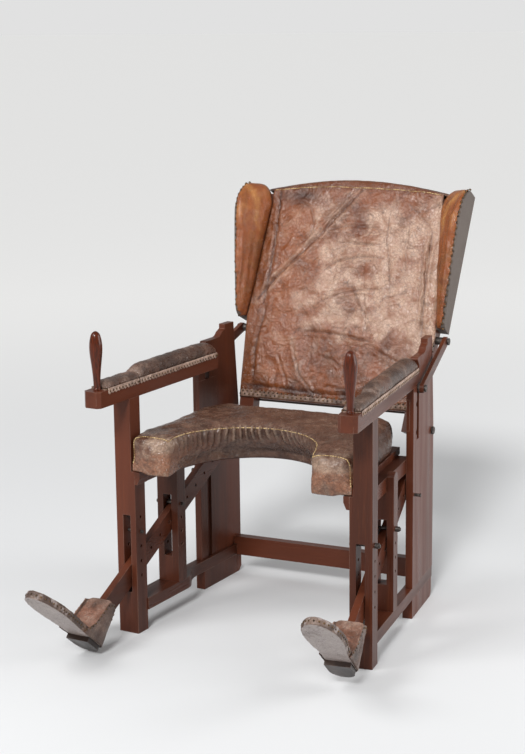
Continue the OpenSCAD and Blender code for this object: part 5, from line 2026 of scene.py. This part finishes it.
@dataclass
class FootRest:
    """The leather work of one foot rest: sole, rim, heel cup and their nails."""

    side: Side
    finishes: Finishes
    length: float = 0.307
    thick: float = 0.020
    heel: float = 0.032
    waist: float = 0.033
    ball: float = 0.045
    sole_nails: Row = Row(0.012, 0.0024, 0.0003)
    cup_nails: Row = Row(0.0125, 0.0024, 0.0003)

    def half(self, a: float) -> float:
        """Half width of the plate at distance a from its heel.

        Args:
            a: The distance.

        Returns:
            The half width.
        """

        def ease(f: float) -> float:
            """Smooth step from 0 to 1."""
            return (1 - math.cos(math.pi * min(1.0, max(0.0, f)))) / 2

        at_ball, at_waist = 0.7 * self.length, 0.3 * self.length
        if a < at_waist:
            body = self.heel + (self.waist - self.heel) * ease(a / at_waist)
        else:
            body = self.waist + (self.ball - self.waist) * ease((a - at_waist) / (at_ball - at_waist))
        toe = math.sqrt(max(0.0, 1 - ((a - at_ball) / (self.length - at_ball)) ** 2)) if a > at_ball else 1.0
        if a < self.heel:
            body = math.sqrt(max(0.0, self.heel**2 - (self.heel - a) ** 2))
        return body * toe

    def outline(self) -> list[Vector]:
        """The plate's edge, from the toe round the heel and back.

        Returns:
            The edge's points, in the plate's frame.
        """
        shares = [i / 60 for i in range(61)]
        line = [self.length * (1 - (1 - math.cos(math.pi * f)) / 2) for f in shares]
        right = [Vector((self.half(a), -a, 0.0)) for a in line]
        left = [Vector((-p.x, p.y, 0.0)) for p in reversed(right)]
        return right + left[1:]

    def build(self) -> None:
        """Makes the sole and the cup, then nails round both."""
        word = self.side.word
        body = "foot_rest_" + word
        SoleLeather(
            name="sole_leather_" + word, node="foot_plate_" + word, body=body, slot="sole_leather",
            finish=self.finishes.sole, voxel=0.0028, fill=0.9, side=self.side,
        ).build()
        CupLeather(
            name="cup_leather_" + word, node="heel_cup_" + word, body=body, slot="cup_leather",
            finish=self.finishes.cup, voxel=0.0016, fill=0.9, side=self.side,
        ).build()
        place = PLAN.plate(self.side)
        nails = bmesh.new()
        sole = skin_of(bpy.data.objects["sole_leather_" + word])
        rim = [place @ (p + Vector((0, 0, self.thick * 0.5))) for p in self.outline() if p.y < -0.118]
        half = len(rim) // 2
        for run in (rim[:half], rim[half:]):
            self.sole_nails.drive(nails, sole, run)
        cup = skin_of(bpy.data.objects["cup_leather_" + word])
        brim = [(0.0045, 0.050), (-0.004, 0.052), (-0.014, 0.086), (-0.030, 0.098), (-0.052, 0.092)]
        brim += [(-0.066, 0.062), (-0.079, 0.034), (-0.092, 0.020), (-0.106, 0.010)]
        for sign in (-1.0, 1.0):
            edge = []
            for y, z in brim:
                x = self.half(max(0.0005, -y)) + 0.0045 if y < 0 else 0.006
                edge.append(place @ Vector((sign * x, y, z)))
            self.cup_nails.drive(nails, cup, edge)
        settle(nails, "foot_nails_" + word, self.finishes.nail, body)


# The whole chair


@dataclass
class BirthingChair:
    """The whole chair."""

    finishes: Finishes

    def build(self) -> None:
        """Dresses the frame, then adds the leather work in order."""
        Frame(self.finishes).build()
        for side in Side:
            HandGrip(side, self.finishes).build()
            Arm(side, self.finishes).build()
            FootRest(side, self.finishes).build()
        SeatCushion(finish=self.finishes.seat, thread=self.finishes.thread).build()
        Back(self.finishes).build()


def main() -> None:
    """Builds the camera, the chair and the studio."""
    logging.basicConfig(level=logging.INFO, format="%(name)s: %(message)s")
    Camera().build()
    BirthingChair(Finishes()).build()
    Studio().build()
    bpy.context.view_layer.update()


if __name__ == "__main__":
    main()
